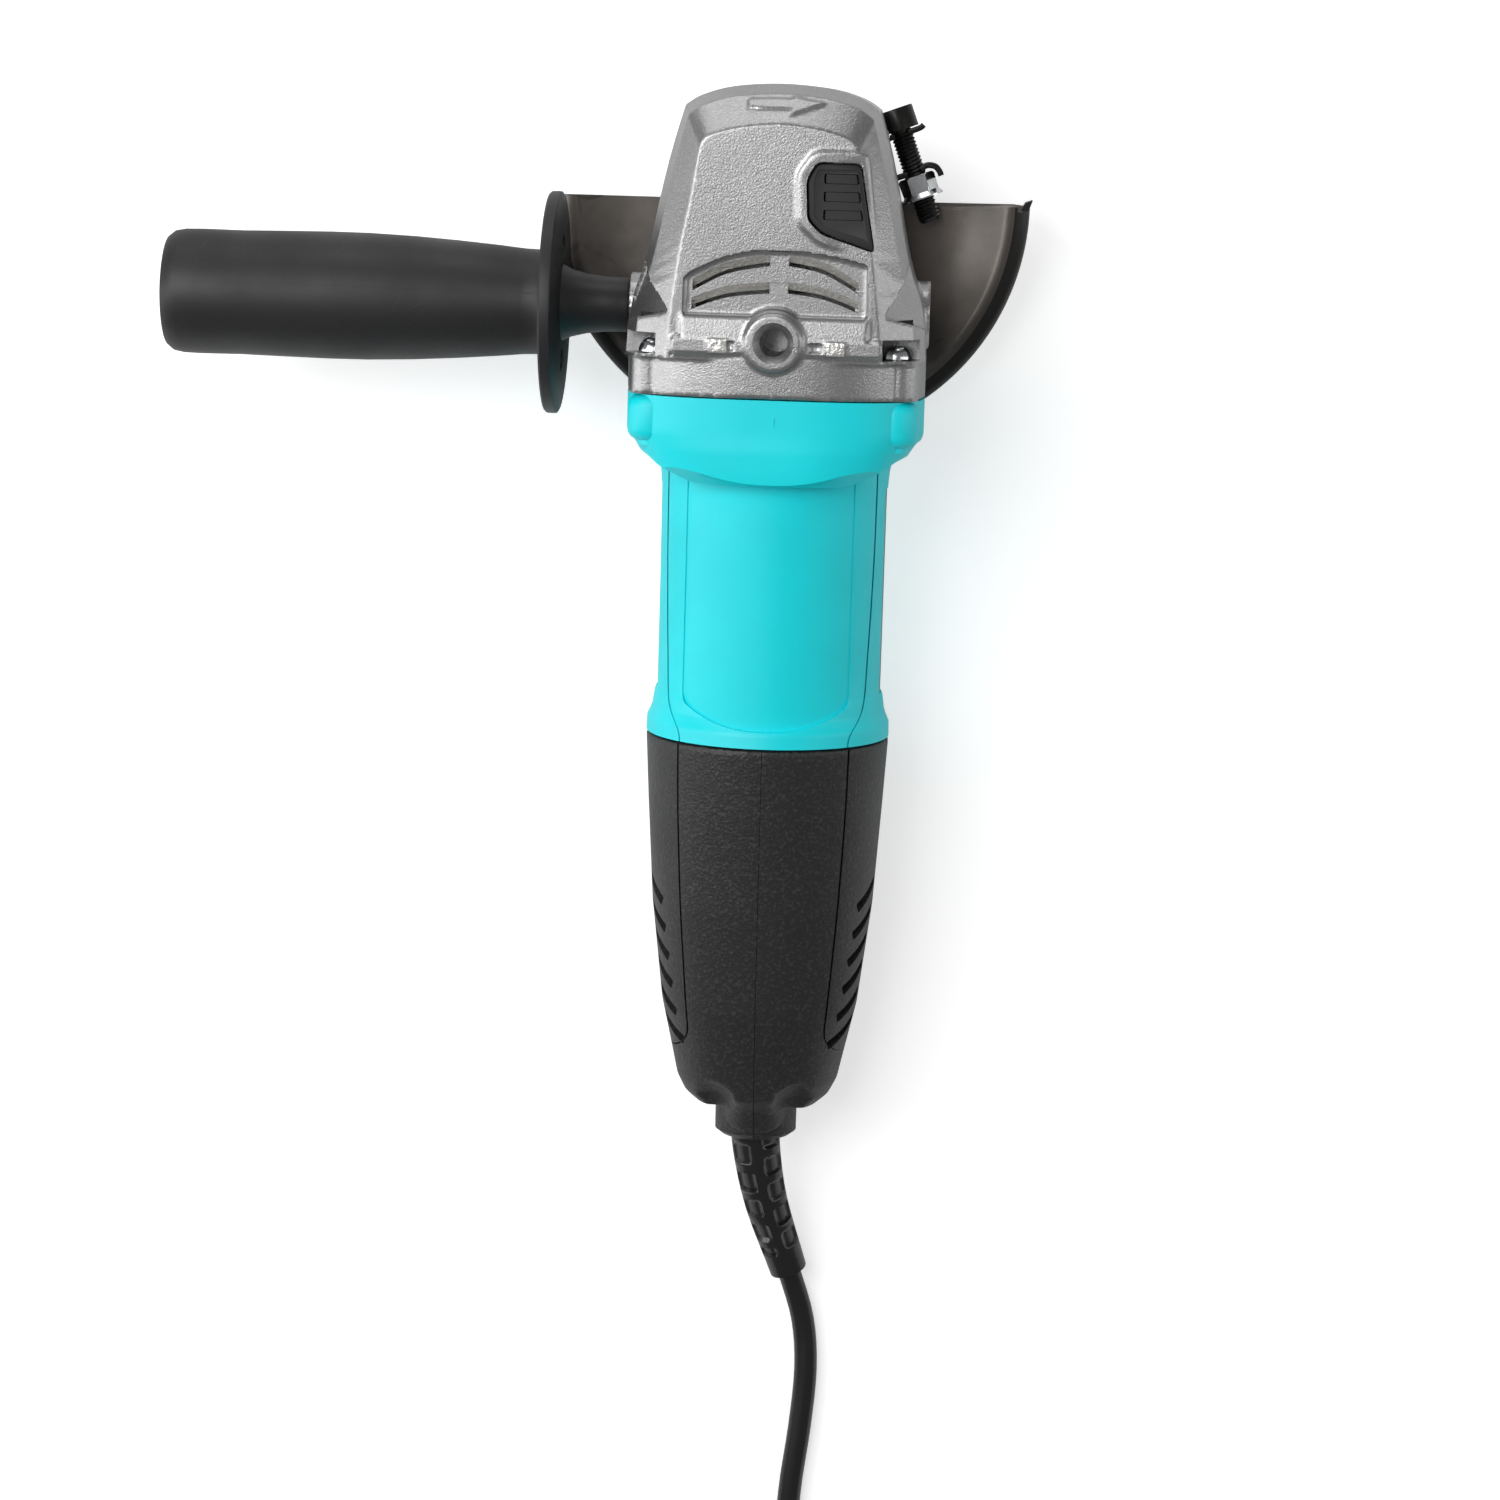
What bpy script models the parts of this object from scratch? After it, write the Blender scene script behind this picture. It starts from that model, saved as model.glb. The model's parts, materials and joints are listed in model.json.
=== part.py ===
"""Angle grinder, 115 mm class, made of its separate pieces.

Lengths are in millimetres while a mesh is built, and are turned into metres when its object is made.
The tool frame has its origin where the motor axis crosses the spindle axis: +Y points to the front of
the head, +Z away from the disc, +X to the lock button's side. The tool frame is tilted in the ground
frame, because the tool lies on z = 0 on the guard's rim and on the underside of its tail.
"""

import math

import bmesh
import bpy
from mathutils import Matrix, Vector

MM = 0.001
GAP = 0.3  # running and seating clearance between two pieces

# ---- driving dimensions -------------------------------------------------------------------------

# Gears: shaft angle 90 degrees, both pitch cones have their apex at the tool frame's origin
GEAR_TEETH, PINION_TEETH = 36, 12
GEAR_PITCH_RADIUS = 22.0
GEAR_FACE = 5.6  # tooth length along the pitch cone
TOOTH_TOP, TOOTH_ROOT = 1.0, 1.35  # tooth height above and below the pitch cone
TOOTH_FILL = 0.80  # share of half a pitch that a tooth fills at the pitch cone
LOCK_HOLES = 6
LOCK_RADIUS = 12.3  # of the lock pin's axis, from the spindle axis
LOCK_TRAVEL = 4.5

# Gear housing
HEAD_BASE = -17.0
HEAD_SHOULDER = 24.0  # the sides are upright up to here
HEAD_EDGE = 30.5
HEAD_TOP = 36.5
FLANGE_FRONT, SEAM_Y = -37.3, -47.5
HANDLE_Y = -27.0  # axis of the two side bosses
SIDE_BOSS_X = 38.6
TOP_BOSS_Y, TOP_BOSS_Z = -33.4, 38.6
TOP_BOSS_RADIUS = 6.9
CHAMBER_RADIUS, CHAMBER_TOP = 24.8, 15.0
WALL = 3.0

# Spindle, its bearings and flanges
SPINDLE_RADIUS = 6.0
SPINDLE_TOP_RADIUS = 3.9
SHOULDER_RADIUS = 9.0
THREAD_RADIUS = 6.8  # M14
SPINDLE_END = -56.0
DISC_BORE_RADIUS = 11.1
DISC_SEAT_Z = -45.0
INNER_FLANGE_RADIUS = 21.0
NUT_FACE_Z = -48.6
BEARING_TOP_Z, BEARING_WIDTH, BEARING_RADIUS = -17.7, 10.0, 16.0
RACE_RADIUS = 9.4  # outside of the inner ring

# Bearing box and guard
PLATE_THICK = 3.7
NECK_RADIUS, NECK_END = 25.0, -36.3
GUARD_RADIUS = 64.0
GUARD_SHEET = 1.5
GUARD_TOP_Z, GUARD_RIM_Z = -33.0, -51.0
GUARD_FOLD = 3.6
BAND_HEIGHT = 8.4
CLAMP_ANGLE = 20.5  # from +X, seen from the top
CLAMP_RADIUS = 34.0  # of the clamp screw's axis, from the spindle axis
CLAMP_Z = -27.0
CLAMP_SCREW_RADIUS = 3.0
EAR_FRONT, EAR_REAR = 6.9, -3.5  # along the clamp screw
SCREW_TIP = -17.0

# Motor housing and tail: half width, top, bottom and squareness of the section at each place
FLARE_HALF, FLARE_TOP, FLARE_BOTTOM, FLARE_POWER = 38.1, 37.0, -29.0, 3.2
BARREL_RADIUS = 29.2
BODY_WALL = 2.6
TAIL_SEAM_Y = -137.0
TAIL_HALF = 31.8
TAIL_END_Y = -236.5
CORD_BOSS_RADIUS, CORD_BOSS_END = 11.3, -245.6
SECTION_POINTS = 24

# Motor
SHAFT_RADIUS = 5.0
SHAFT_FRONT_RADIUS, SHAFT_REAR_RADIUS = 3.0, 3.5
STATOR_FRONT, STATOR_REAR = -72.0, -112.0
STATOR_BORE = 16.6
STATOR_FLAT = 24.3
ARMATURE_RADIUS = 15.8
COMMUTATOR_RADIUS = 10.5
BRUSH_Y = -127.5
BRUSH_STROKE = 2.5
FAN_RADIUS = 24.5
FRONT_BEARING_Y, FRONT_BEARING_WIDTH, FRONT_BEARING_RADIUS = -33.3, 8.0, 13.0
REAR_BEARING_Y, REAR_BEARING_WIDTH, REAR_BEARING_RADIUS = -137.4, 6.0, 9.5
BUSH_WALL = 1.2

# Switch slider
SLIDER_TRAVEL = 6.0
STEM_FRONT, STEM_REAR = -104.0, -112.0

# Side handle
GRIP_START = -SIDE_BOSS_X - GAP
STUD_RADIUS = 4.0
STUD_INSIDE, STUD_OUTSIDE = -27.0, -75.0

# Cord
CORD_RADIUS = 3.1
COIL_CENTRE = (-30.0, -414.0)
COIL_OUTER, COIL_INNER, COIL_HEIGHT = 46.0, 28.0, 19.0

# The tool's roll on its rest: the heavy side handle pulls the left side down
ROLL = -2.6
# Spindle lock, its button and the head's screws
LOCK_PIN_RADIUS = 2.25
HUB_TOP_Z = -4.5
# The lock button's outline, seen from the top
BUTTON = [(9.6, 11.0), (20.2, 11.1), (24.2, -10.2), (11.2, -5.9), (8.1, -2.6), (7.7, 8.6)]
BUTTON_BASE = 30.5
POCKET_FLOOR, SPRING_SEAT = 24.5, 18.0
SPRING_BORE = 4.2
HOUSING_SCREWS = [(side * 30.6, z) for side in (-1, 1) for z in (25.4, -17.4)]
PLATE_SCREWS = [(side * x, y) for side in (-1, 1) for x, y in ((22.5, 17.5), (29.0, -20.0))]
NEEDLE_RADIUS = 6.0
SCREW_SHANK = 1.9
# Disc flange and dust seal
FLANGE_TOP_Z = -39.3
SEAL_LOW = -31.8
# The grip's outline: distance beyond its start, and radius
GRIP = [(0, 7.0), (15.0, 8.2), (18.2, 9.4), (18.4, 28.5), (21.6, 28.5), (22.0, 13.6), (31, 14.4)]
GRIP += [(56, 16.0), (76, 16.4), (96, 15.9), (111, 16.3), (117, 15.4), (119.6, 12.6), (120.3, 0)]
# Field coils
COIL_RADII = (STATOR_BORE + 0.6, 22.2)
# Rear cover: the screws that join its halves run along X, at (y, z), with their post's end and head seat
COVER_SCREWS = [((-143.6, 21.5), 15.0, 9.0), ((-200.0, -18.0), 16.0, 11.0)]
COVER_SCREW_TIP = -14.0
COVER_BOSS, COVER_SHANK, COVER_HEAD = 4.6, 1.6, 3.1
SWITCH_HALF, SWITCH_FRONT, SWITCH_REAR = 12.0, -149.7, -180.0
SWITCH_LOW, SWITCH_TOP = -20.0, -4.0
CLAMP_Y = (-224.5, -217.5)
CLAMP_SCREW_X = 6.6
SHELF_DEPTH = 6.0
BOOT_RADIUS, BOOT_FLANGE = 6.6, 9.1
BOOT_START, GROOVE_Y = -234.0, (-240.2, -236.8)
VENTS, VENT_PITCH, VENT_FIRST = 6, 7.4, -178.0
# The route inside the tool and its sleeve, in the tool frame
ROUTE_START = [(0, -214, 0), (0, -226, 0), (0, -240, 0), (0.4, -250, -0.2), (3.4, -266, -3.0)]
# The route on the ground, in the ground frame
ROUTE_GROUND = [(10.2, -281.0, 6.0), (14.4, -294.5, 3.4), (15.6, -308.0, 3.2), (14.4, -324.0, 3.2)]
ROUTE_GROUND += [(12.2, -342.0, 3.2), (11.6, -362.0, 3.2), (12.6, -389.5, 3.2)]
BOOT_LENGTH = 54.0
# Plug
PLUG_AXIS_Y = COIL_CENTRE[1] - 34.0
PLUG_REAR_X = COIL_CENTRE[0] + 26.0
PLUG_HALF_DEPTH = 9.0
CORD_PIECES = ("cord_tube", "cord_coil", "mains_plug")


# ---- mesh helpers -------------------------------------------------------------------------------

for old in list(bpy.data.objects):
    bpy.data.objects.remove(old)


def along(axis, u, v, w):
    """A point w along the named axis, with u and v across it."""
    return {"X": (w, u, v), "Y": (u, w, v), "Z": (u, v, w)}[axis]


def loft(rings, closed=False):
    """A solid skinned over rings of equal count: capped at its ends, or closed into a loop."""
    bm = bmesh.new()
    loops = [[bm.verts.new(point) for point in ring] for ring in rings]
    pairs = list(zip(loops, loops[1:]))
    if closed:
        pairs.append((loops[-1], loops[0]))
    else:
        bm.faces.new(loops[0])
        bm.faces.new(loops[-1])
    for near, far in pairs:
        for i in range(len(near)):
            j = (i + 1) % len(near)
            bm.faces.new((near[i], near[j], far[j], far[i]))
    return bm


def lathe(profile, axis="Z", steps=20, start=0.0):
    """A turned solid from (radius, place along the axis); one that never meets the axis is a ring."""
    bm = bmesh.new()
    first = [along(axis, r * math.cos(start), r * math.sin(start), w) for r, w in profile]
    verts = [bm.verts.new(point) for point in first]
    edges = [bm.edges.new(pair) for pair in zip(verts, verts[1:])]
    if min(r for r, w in profile) > 0:
        edges.append(bm.edges.new((verts[-1], verts[0])))
    turn = {"axis": along(axis, 0, 0, 1), "angle": math.tau, "steps": steps}
    bmesh.ops.spin(bm, geom=verts + edges, cent=(0, 0, 0), use_merge=True, **turn)
    bmesh.ops.remove_doubles(bm, verts=bm.verts, dist=1e-3)
    return bm


def rod(radius, low, high, axis="Z", at=(0, 0), steps=14):
    """A plain cylinder, its axis moved to at, across the named axis."""
    bm = lathe([(0, low), (radius, low), (radius, high), (0, high)], axis, steps)
    bmesh.ops.translate(bm, verts=bm.verts, vec=along(axis, at[0], at[1], 0))
    return bm


def prism(outline, low, high, axis="Z"):
    return loft([[along(axis, u, v, w) for u, v in outline] for w in (low, high)])


def box(x, y, z):
    """A box from its (low, high) pairs."""
    return prism([(x[0], y[0]), (x[1], y[0]), (x[1], y[1]), (x[0], y[1])], z[0], z[1])


def turned(bm, degrees, axis, centre=(0, 0, 0)):
    turn = Matrix.Rotation(math.radians(degrees), 3, axis)
    bmesh.ops.rotate(bm, verts=bm.verts, cent=centre, matrix=turn)
    return bm


def moved(bm, vector):
    bmesh.ops.translate(bm, verts=bm.verts, vec=vector)
    return bm


def sector(inner, outer, low, high, steps=12):
    """Outline of a ring's sector between two angles in degrees."""
    angles = [math.radians(low + (high - low) * k / steps) for k in range(steps + 1)]
    arc = [(outer * math.cos(a), outer * math.sin(a)) for a in angles]
    return arc + [(inner * math.cos(a), inner * math.sin(a)) for a in reversed(angles)]


def strip(path, thickness):
    """Outline of a bent sheet with this centre line."""
    near, far = [], []
    points = [Vector(p) for p in path]
    for i, p in enumerate(points):
        before, after = points[max(i - 1, 0)], points[min(i + 1, len(points) - 1)]
        side = (after - before).normalized().orthogonal() * thickness / 2
        near.append(tuple(p + side))
        far.append(tuple(p - side))
    return near + far[::-1]


def new_object(name, bm, parent):
    bmesh.ops.recalc_face_normals(bm, faces=bm.faces)
    bmesh.ops.scale(bm, vec=(MM, MM, MM), verts=bm.verts)
    mesh = bpy.data.meshes.new(name)
    bm.to_mesh(mesh)
    bm.free()
    mesh.shade_smooth()
    mesh.set_sharp_from_angle(angle=math.radians(35))
    obj = bpy.data.objects.new(name, mesh)
    bpy.context.scene.collection.objects.link(obj)
    obj.parent = parent
    return obj


def paint(obj, look):
    (red, green, blue), roughness, metallic = look
    material = bpy.data.materials.new(obj.name)
    material.use_nodes = True
    shader = material.node_tree.nodes["Principled BSDF"]
    shader.inputs["Base Color"].default_value = (red, green, blue, 1)
    shader.inputs["Roughness"].default_value = roughness
    shader.inputs["Metallic"].default_value = metallic
    obj.data.materials.append(material)


def part(name, bm, look, parent=None):
    obj = new_object(name, bm, parent or tool)
    paint(obj, look)
    return obj


# Thin shells with many crossing cuts, on which the exact solver leaves edges open
MANIFOLD_SHELLS = ("gear_housing", "motor_housing", "rear_cover_left", "rear_cover_right")


def combine(obj, meshes, operation):
    """Cut these meshes out of the object, or weld them to it, with hidden guides."""
    for bm in meshes:
        guide = new_object(f"guide_{obj.name}", bm, obj.parent)
        guide.hide_render = True
        guide.display_type = "WIRE"
        change = obj.modifiers.new(operation.lower(), "BOOLEAN")
        change.operation = operation
        change.solver = "MANIFOLD" if obj.name in MANIFOLD_SHELLS else "EXACT"
        change.object = guide


def cut(obj, *meshes):
    combine(obj, meshes, "DIFFERENCE")


def weld(obj, *meshes):
    combine(obj, meshes, "UNION")


# ---- looks --------------------------------------------------------------------------------------

CAST = ((0.46, 0.46, 0.46), 0.45, 0.6)
CYAN = ((0.0, 0.60, 0.68), 0.4, 0.0)
BLACK_PLASTIC = ((0.025, 0.025, 0.027), 0.55, 0.0)
BLACK_RUBBER = ((0.02, 0.02, 0.02), 0.6, 0.0)
BLACK_STEEL = ((0.03, 0.028, 0.027), 0.35, 0.8)
ZINC = ((0.72, 0.74, 0.76), 0.3, 1.0)
STEEL = ((0.55, 0.55, 0.56), 0.3, 1.0)
GROUND_STEEL = ((0.68, 0.68, 0.68), 0.22, 1.0)
LAMINATION = ((0.32, 0.32, 0.34), 0.5, 0.9)
COPPER = ((0.72, 0.33, 0.16), 0.35, 1.0)
BRASS = ((0.75, 0.58, 0.26), 0.35, 1.0)
CARBON = ((0.05, 0.05, 0.055), 0.6, 0.1)
GREY_PLASTIC = ((0.30, 0.30, 0.31), 0.6, 0.0)


# ---- body sections ------------------------------------------------------------------------------

# Half of the head's outline seen from the top, from the front round to the flange
HEAD_PLAN = [(0, 30.4), (12, 29.5), (20, 27.2), (24.2, 24.6), (26.8, 15.5), (29.3, 5.0)]
HEAD_PLAN += [(33.0, -13.0), (36.9, -25.0), (38.0, -38.0)]
TOP_PLAN = [(0, 20.5), (10, 19.4), (17.5, 17.2), (19.7, 14.5), (20.6, 9.0), (21.5, 2.5)]
TOP_PLAN += [(23.7, -9.0), (25.8, -25.0), (27.0, -38.0)]


def blended(near, far, share):
    return [(a + (c - a) * share, b + (d - b) * share) for (a, b), (c, d) in zip(near, far)]


def both_sides(half, z):
    right = [(x, y, z) for x, y in half]
    return right + [(-x, y, z) for x, y, z in reversed(right) if x > 0]


def section(y, half_width, top, bottom, power):
    """The body's cross-section at y, a rounded square as square as its power."""
    middle, half_height = (top + bottom) / 2, (top - bottom) / 2
    ring = []
    for k in range(SECTION_POINTS):
        turn = math.tau * k / SECTION_POINTS
        c, s = math.cos(turn), math.sin(turn)
        x = half_width * math.copysign(abs(c) ** (2 / power), c)
        z = half_height * math.copysign(abs(s) ** (2 / power), s)
        ring.append((x, y, middle + z))
    return ring


def inset(stations, wall):
    return [(y, half - wall, top - wall, bottom + wall, power) for y, half, top, bottom, power in stations]


FLARE = (FLARE_HALF, FLARE_TOP, FLARE_BOTTOM, FLARE_POWER)
BARREL = (BARREL_RADIUS, BARREL_RADIUS, -BARREL_RADIUS, 2.0)
TAIL_FRONT = (TAIL_HALF, TAIL_HALF, -TAIL_HALF, 2.0)
SHELL_START = SEAM_Y - GAP
MOTOR_STATIONS = [
    (SHELL_START, *FLARE),
    (SHELL_START - 9.4, *FLARE),
    (SHELL_START - 13.0, BARREL_RADIUS + 4.4, 33.4, FLARE_BOTTOM, 2.6),
    (SHELL_START - 17.0, BARREL_RADIUS + 0.6, 30.0, -BARREL_RADIUS, 2.1),
    (SHELL_START - 22.0, *BARREL),
    (TAIL_SEAM_Y + 9.5, *BARREL),
    (TAIL_SEAM_Y + 6.0, BARREL_RADIUS + 0.4, BARREL_RADIUS + 0.4, -BARREL_RADIUS - 0.4, 2.0),
    (TAIL_SEAM_Y + 2.0, *TAIL_FRONT),
    (TAIL_SEAM_Y, *TAIL_FRONT),
]
TAIL_STATIONS = [
    (TAIL_SEAM_Y - GAP, *TAIL_FRONT),
    (-155.0, 30.8, 30.4, -30.6, 2.1),
    (-182.0, 29.1, 28.0, -29.2, 2.2),
    (-209.0, 25.9, 24.6, -27.0, 2.25),
    (-222.5, 22.9, 21.4, -24.6, 2.3),
    (-229.5, 21.4, 19.8, -23.0, 2.3),
    (-233.5, 19.4, 17.8, -20.6, 2.3),
    (TAIL_END_Y, 16.0, 14.4, -16.6, 2.3),
]


def tilted(point, pitch):
    """A tool frame point after the roll and the pitch, before it is lifted onto the ground."""
    turn = Matrix.Rotation(pitch, 3, "X") @ Matrix.Rotation(math.radians(ROLL), 3, "Y")
    return turn @ Vector(point)


def rest_heights(pitch):
    """Height of the guard rim's lowest point and of the tail's, with the tool's origin at zero."""
    angles = [math.pi + math.pi * k / 90 for k in range(91)]
    rim = [(GUARD_RADIUS * math.cos(a), GUARD_RADIUS * math.sin(a), GUARD_RIM_Z) for a in angles]
    tail = [point for station in TAIL_STATIONS for point in section(*station)]
    return [min(tilted(point, pitch).z for point in points) for points in (rim, tail)]


def rest_pitch():
    """The pitch at which the guard rim and the tail touch the ground together."""
    low, high = 0.0, math.radians(25)
    for _ in range(60):
        pitch = (low + high) / 2
        rim, tail = rest_heights(pitch)
        low, high = (pitch, high) if rim < tail else (low, pitch)
    return pitch


def empty(name, parent=None):
    guide = bpy.data.objects.new(name, None)
    bpy.context.scene.collection.objects.link(guide)
    guide.parent = parent
    return guide


PITCH = rest_pitch()
LIFT = -min(rest_heights(PITCH))
ground = empty("ground")
tool = empty("tool_frame", ground)
lean = Matrix.Rotation(PITCH, 3, "X") @ Matrix.Rotation(math.radians(ROLL), 3, "Y")
tool.rotation_euler = lean.to_euler()
tool.location = (0, 0, LIFT * MM)


def on_ground(point):
    """A tool frame point in the ground frame."""
    return tilted(point, PITCH) + Vector((0, 0, LIFT))


# ---- gears --------------------------------------------------------------------------------------

PINION_PITCH_RADIUS = GEAR_PITCH_RADIUS * PINION_TEETH / GEAR_TEETH
CONE = math.hypot(GEAR_PITCH_RADIUS, PINION_PITCH_RADIUS)
INNER_END = 1 - GEAR_FACE / CONE
PRESSURE = math.radians(20)


def tooth_ring(teeth, radius, depth, share, phase):
    """The toothed edge at one end of a bevel gear, as (radius, angle, depth below the apex) points.

    radius and depth place the pitch circle; share scales the ring towards the apex.
    """
    slope = Vector((radius, depth)).normalized()
    outward = Vector((slope.y, -slope.x))
    quarter = math.tau / teeth / 4 * TOOTH_FILL
    tip, root = TOOTH_TOP * math.tan(PRESSURE) / radius, TOOTH_ROOT * math.tan(PRESSURE) / radius
    corners = [(-quarter - root, -TOOTH_ROOT), (-quarter + tip, TOOTH_TOP)]
    corners += [(quarter - tip, TOOTH_TOP), (quarter + root, -TOOTH_ROOT)]
    ring = []
    for k in range(teeth):
        for turn, height in corners:
            place = (slope * CONE + outward * height) * share
            ring.append((place.x, phase + math.tau * k / teeth + turn, place.y))
    return ring


def crown_gear():
    """The large bevel gear, teeth up, below the pinion. A tooth gap faces the pinion."""
    phase = -math.pi / 2 + math.pi / GEAR_TEETH
    ends = [
        tooth_ring(GEAR_TEETH, GEAR_PITCH_RADIUS, PINION_PITCH_RADIUS, share, phase)
        for share in (INNER_END, 1)
    ]
    rings = [[(r * math.cos(a), r * math.sin(a), -d) for r, a, d in ring] for ring in ends]
    back, rim = -13.5, GEAR_PITCH_RADIUS - 1
    rings.append([(rim * math.cos(a), rim * math.sin(a), back) for r, a, d in ends[1]])
    gear = part("crown_gear", loft(rings), STEEL)
    web_top, hub_radius = -8.2, 9.2
    inner_radius = GEAR_PITCH_RADIUS * INNER_END - 1.1
    hub_top, hub_low = HUB_TOP_Z, BEARING_TOP_Z + GAP
    cut(gear, rod(inner_radius, web_top, 0, steps=24))
    weld(gear, rod(hub_radius, hub_low, hub_top, steps=24))
    cut(gear, rod(SPINDLE_RADIUS + GAP, hub_low - 1, hub_top + 1, steps=24))
    for k in range(LOCK_HOLES):
        turn = math.tau * k / LOCK_HOLES
        at = (LOCK_RADIUS * math.cos(turn), LOCK_RADIUS * math.sin(turn))
        cut(gear, rod(LOCK_PIN_RADIUS + 0.45, back - 1, web_top + 1, at=at, steps=10))


def pinion_gear():
    """The small bevel gear on the armature shaft. A tooth faces down, into the crown gear's gap."""
    ends = [
        tooth_ring(PINION_TEETH, PINION_PITCH_RADIUS, GEAR_PITCH_RADIUS, share, -math.pi / 2)
        for share in (INNER_END, 1)
    ]
    rings = [[(r * math.cos(a), -d, r * math.sin(a)) for r, a, d in ring] for ring in ends]
    pinion = part("pinion_gear", loft(rings), STEEL)
    hub_rear = FRONT_BEARING_Y + GAP + 0.1
    hub_front = -GEAR_PITCH_RADIUS * INNER_END
    root_radius = PINION_PITCH_RADIUS * INNER_END - TOOTH_ROOT
    weld(pinion, rod(root_radius, -GEAR_PITCH_RADIUS, hub_front + 0.6, "Y"))
    weld(pinion, rod(PINION_PITCH_RADIUS - TOOTH_TOP, hub_rear, -GEAR_PITCH_RADIUS, "Y"))
    cut(pinion, rod(SHAFT_FRONT_RADIUS + GAP, hub_rear - 1, hub_front + 3, "Y"))


# ---- head ---------------------------------------------------------------------------------------


def grown(outline, amount):
    """An outline pushed outwards, away from its own middle."""
    middle = sum((Vector(p) for p in outline), Vector((0, 0))) / len(outline)
    return [tuple(Vector(p) + (Vector(p) - middle).normalized() * amount) for p in outline]


def gear_housing():
    levels = [(HEAD_BASE, 0), (HEAD_SHOULDER, 0), (HEAD_EDGE, 0.25), (HEAD_TOP, 1)]
    rings = [both_sides(blended(HEAD_PLAN, TOP_PLAN, share), z) for z, share in levels]
    housing = part("gear_housing", loft(rings), CAST)
    flange = [(FLANGE_FRONT, *FLARE), (SEAM_Y, *FLARE)]
    weld(housing, loft([section(*station) for station in flange]))
    for side in (-1, 1):
        ends = sorted((side * SIDE_BOSS_X, side * 30))
        weld(housing, rod(8.5, *ends, "X", (HANDLE_Y, 0), 18))

    cut(housing, rod(CHAMBER_RADIUS, HEAD_BASE - 1, CHAMBER_TOP, steps=28))
    cut(housing, prism(sector(9.5, 20.0, 80, 230), CHAMBER_TOP - 1, HEAD_TOP - WALL - 2))
    cut(housing, rod(9.8, FRONT_BEARING_Y - 0.5, -8, "Y", steps=20))
    cut(housing, rod(FRONT_BEARING_RADIUS + GAP, SEAM_Y - 1, FRONT_BEARING_Y + GAP, "Y", steps=24))
    recess = inset([(SEAM_Y - 1, *FLARE), (SEAM_Y + 4.0, *FLARE)], WALL)
    cut(housing, loft([section(*station) for station in recess]))
    cut(housing, box((-20, 20), (SEAM_Y - 1, -12), (18.5, HEAD_TOP - WALL - 1)))

    boss_at = (0, TOP_BOSS_Y)
    weld(housing, rod(TOP_BOSS_RADIUS, 18, TOP_BOSS_Z, at=boss_at, steps=20))
    cut(housing, rod(3.5, 22, TOP_BOSS_Z + 1, at=boss_at))
    bores = {-1: STUD_RADIUS + GAP, 1: STUD_RADIUS - 0.6}
    for side, radius in bores.items():
        ends = sorted((side * (SIDE_BOSS_X + 1), side * (-STUD_INSIDE - 1)))
        cut(housing, rod(radius, *ends, "X", (HANDLE_Y, 0), 14))
    cut(housing, rod(NEEDLE_RADIUS + GAP, CHAMBER_TOP - 1, 28.3, steps=20))
    cut(housing, prism(grown(BUTTON, 0.5), POCKET_FLOOR, HEAD_TOP + 2))
    pin_at = (LOCK_RADIUS, 0)
    cut(housing, rod(SPRING_BORE, SPRING_SEAT, POCKET_FLOOR + 1, at=pin_at, steps=16))
    cut(housing, rod(LOCK_PIN_RADIUS + GAP, CHAMBER_TOP - 1, SPRING_SEAT + 1, at=pin_at))
    for at in HOUSING_SCREWS:
        cut(housing, rod(4.7, FLANGE_FRONT, FLANGE_FRONT + 10, "Y", at, 12))
        cut(housing, rod(SCREW_SHANK + GAP, SEAM_Y - 1, FLANGE_FRONT + 1, "Y", at, 8))
    for at in PLATE_SCREWS:
        cut(housing, rod(SCREW_SHANK + GAP, HEAD_BASE - 1, -6, at=at, steps=8))


def housing_screws():
    head = FLANGE_FRONT + GAP
    profile = [(0, head + 3.2), (2.6, head + 3.2), (3.9, head + 2), (3.9, head)]
    profile += [(SCREW_SHANK, head), (SCREW_SHANK, SHELL_START - 12), (0, SHELL_START - 12)]
    for number, (x, z) in enumerate(HOUSING_SCREWS, 1):
        part(f"gear_housing_screw_{number}", moved(lathe(profile, "Y", 10), (x, 0, z)), ZINC)


def lock_button():
    def top(x):
        return 35.7 - 0.13 * (x - 8)

    rings = [[(x, y, BUTTON_BASE) for x, y in BUTTON], [(x, y, top(x)) for x, y in BUTTON]]
    part("lock_button", loft(rings), BLACK_PLASTIC)
    pin = rod(LOCK_PIN_RADIUS, -6.6, BUTTON_BASE - GAP, at=(LOCK_RADIUS, 0))
    part("lock_pin", pin, GROUND_STEEL)
    part("lock_spring", coil_spring(3.2, 0.35, SPRING_SEAT + GAP, BUTTON_BASE - GAP, 5), STEEL)
    bpy.data.objects["lock_spring"].location = (LOCK_RADIUS * MM, 0, 0)


def coil_spring(radius, wire, low, high, turns, axis="Z"):
    """A helical wire spring with open ends, between two places on its axis."""
    steps, sides = 7 * turns, 3
    rings = []
    for k in range(steps + 1):
        turn = math.tau * turns * k / steps
        rise = low + wire * 1.5 + (high - low - wire * 3) * k / steps
        ring = []
        for side in range(sides):
            a = math.tau * side / sides
            r, w = radius + wire * math.cos(a), rise + wire * math.sin(a)
            ring.append(along(axis, r * math.cos(turn), r * math.sin(turn), w))
        rings.append(ring)
    return loft(rings)


def bearing_ring(name, front, width, radius, bore, axis, look=STEEL):
    """A turned ring, such as a sealed bearing or one of its rings."""
    low, high = front - width, front
    ring = [(bore, low), (radius, low), (radius, high), (bore, high)]
    part(name, lathe(ring, axis), look)


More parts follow.
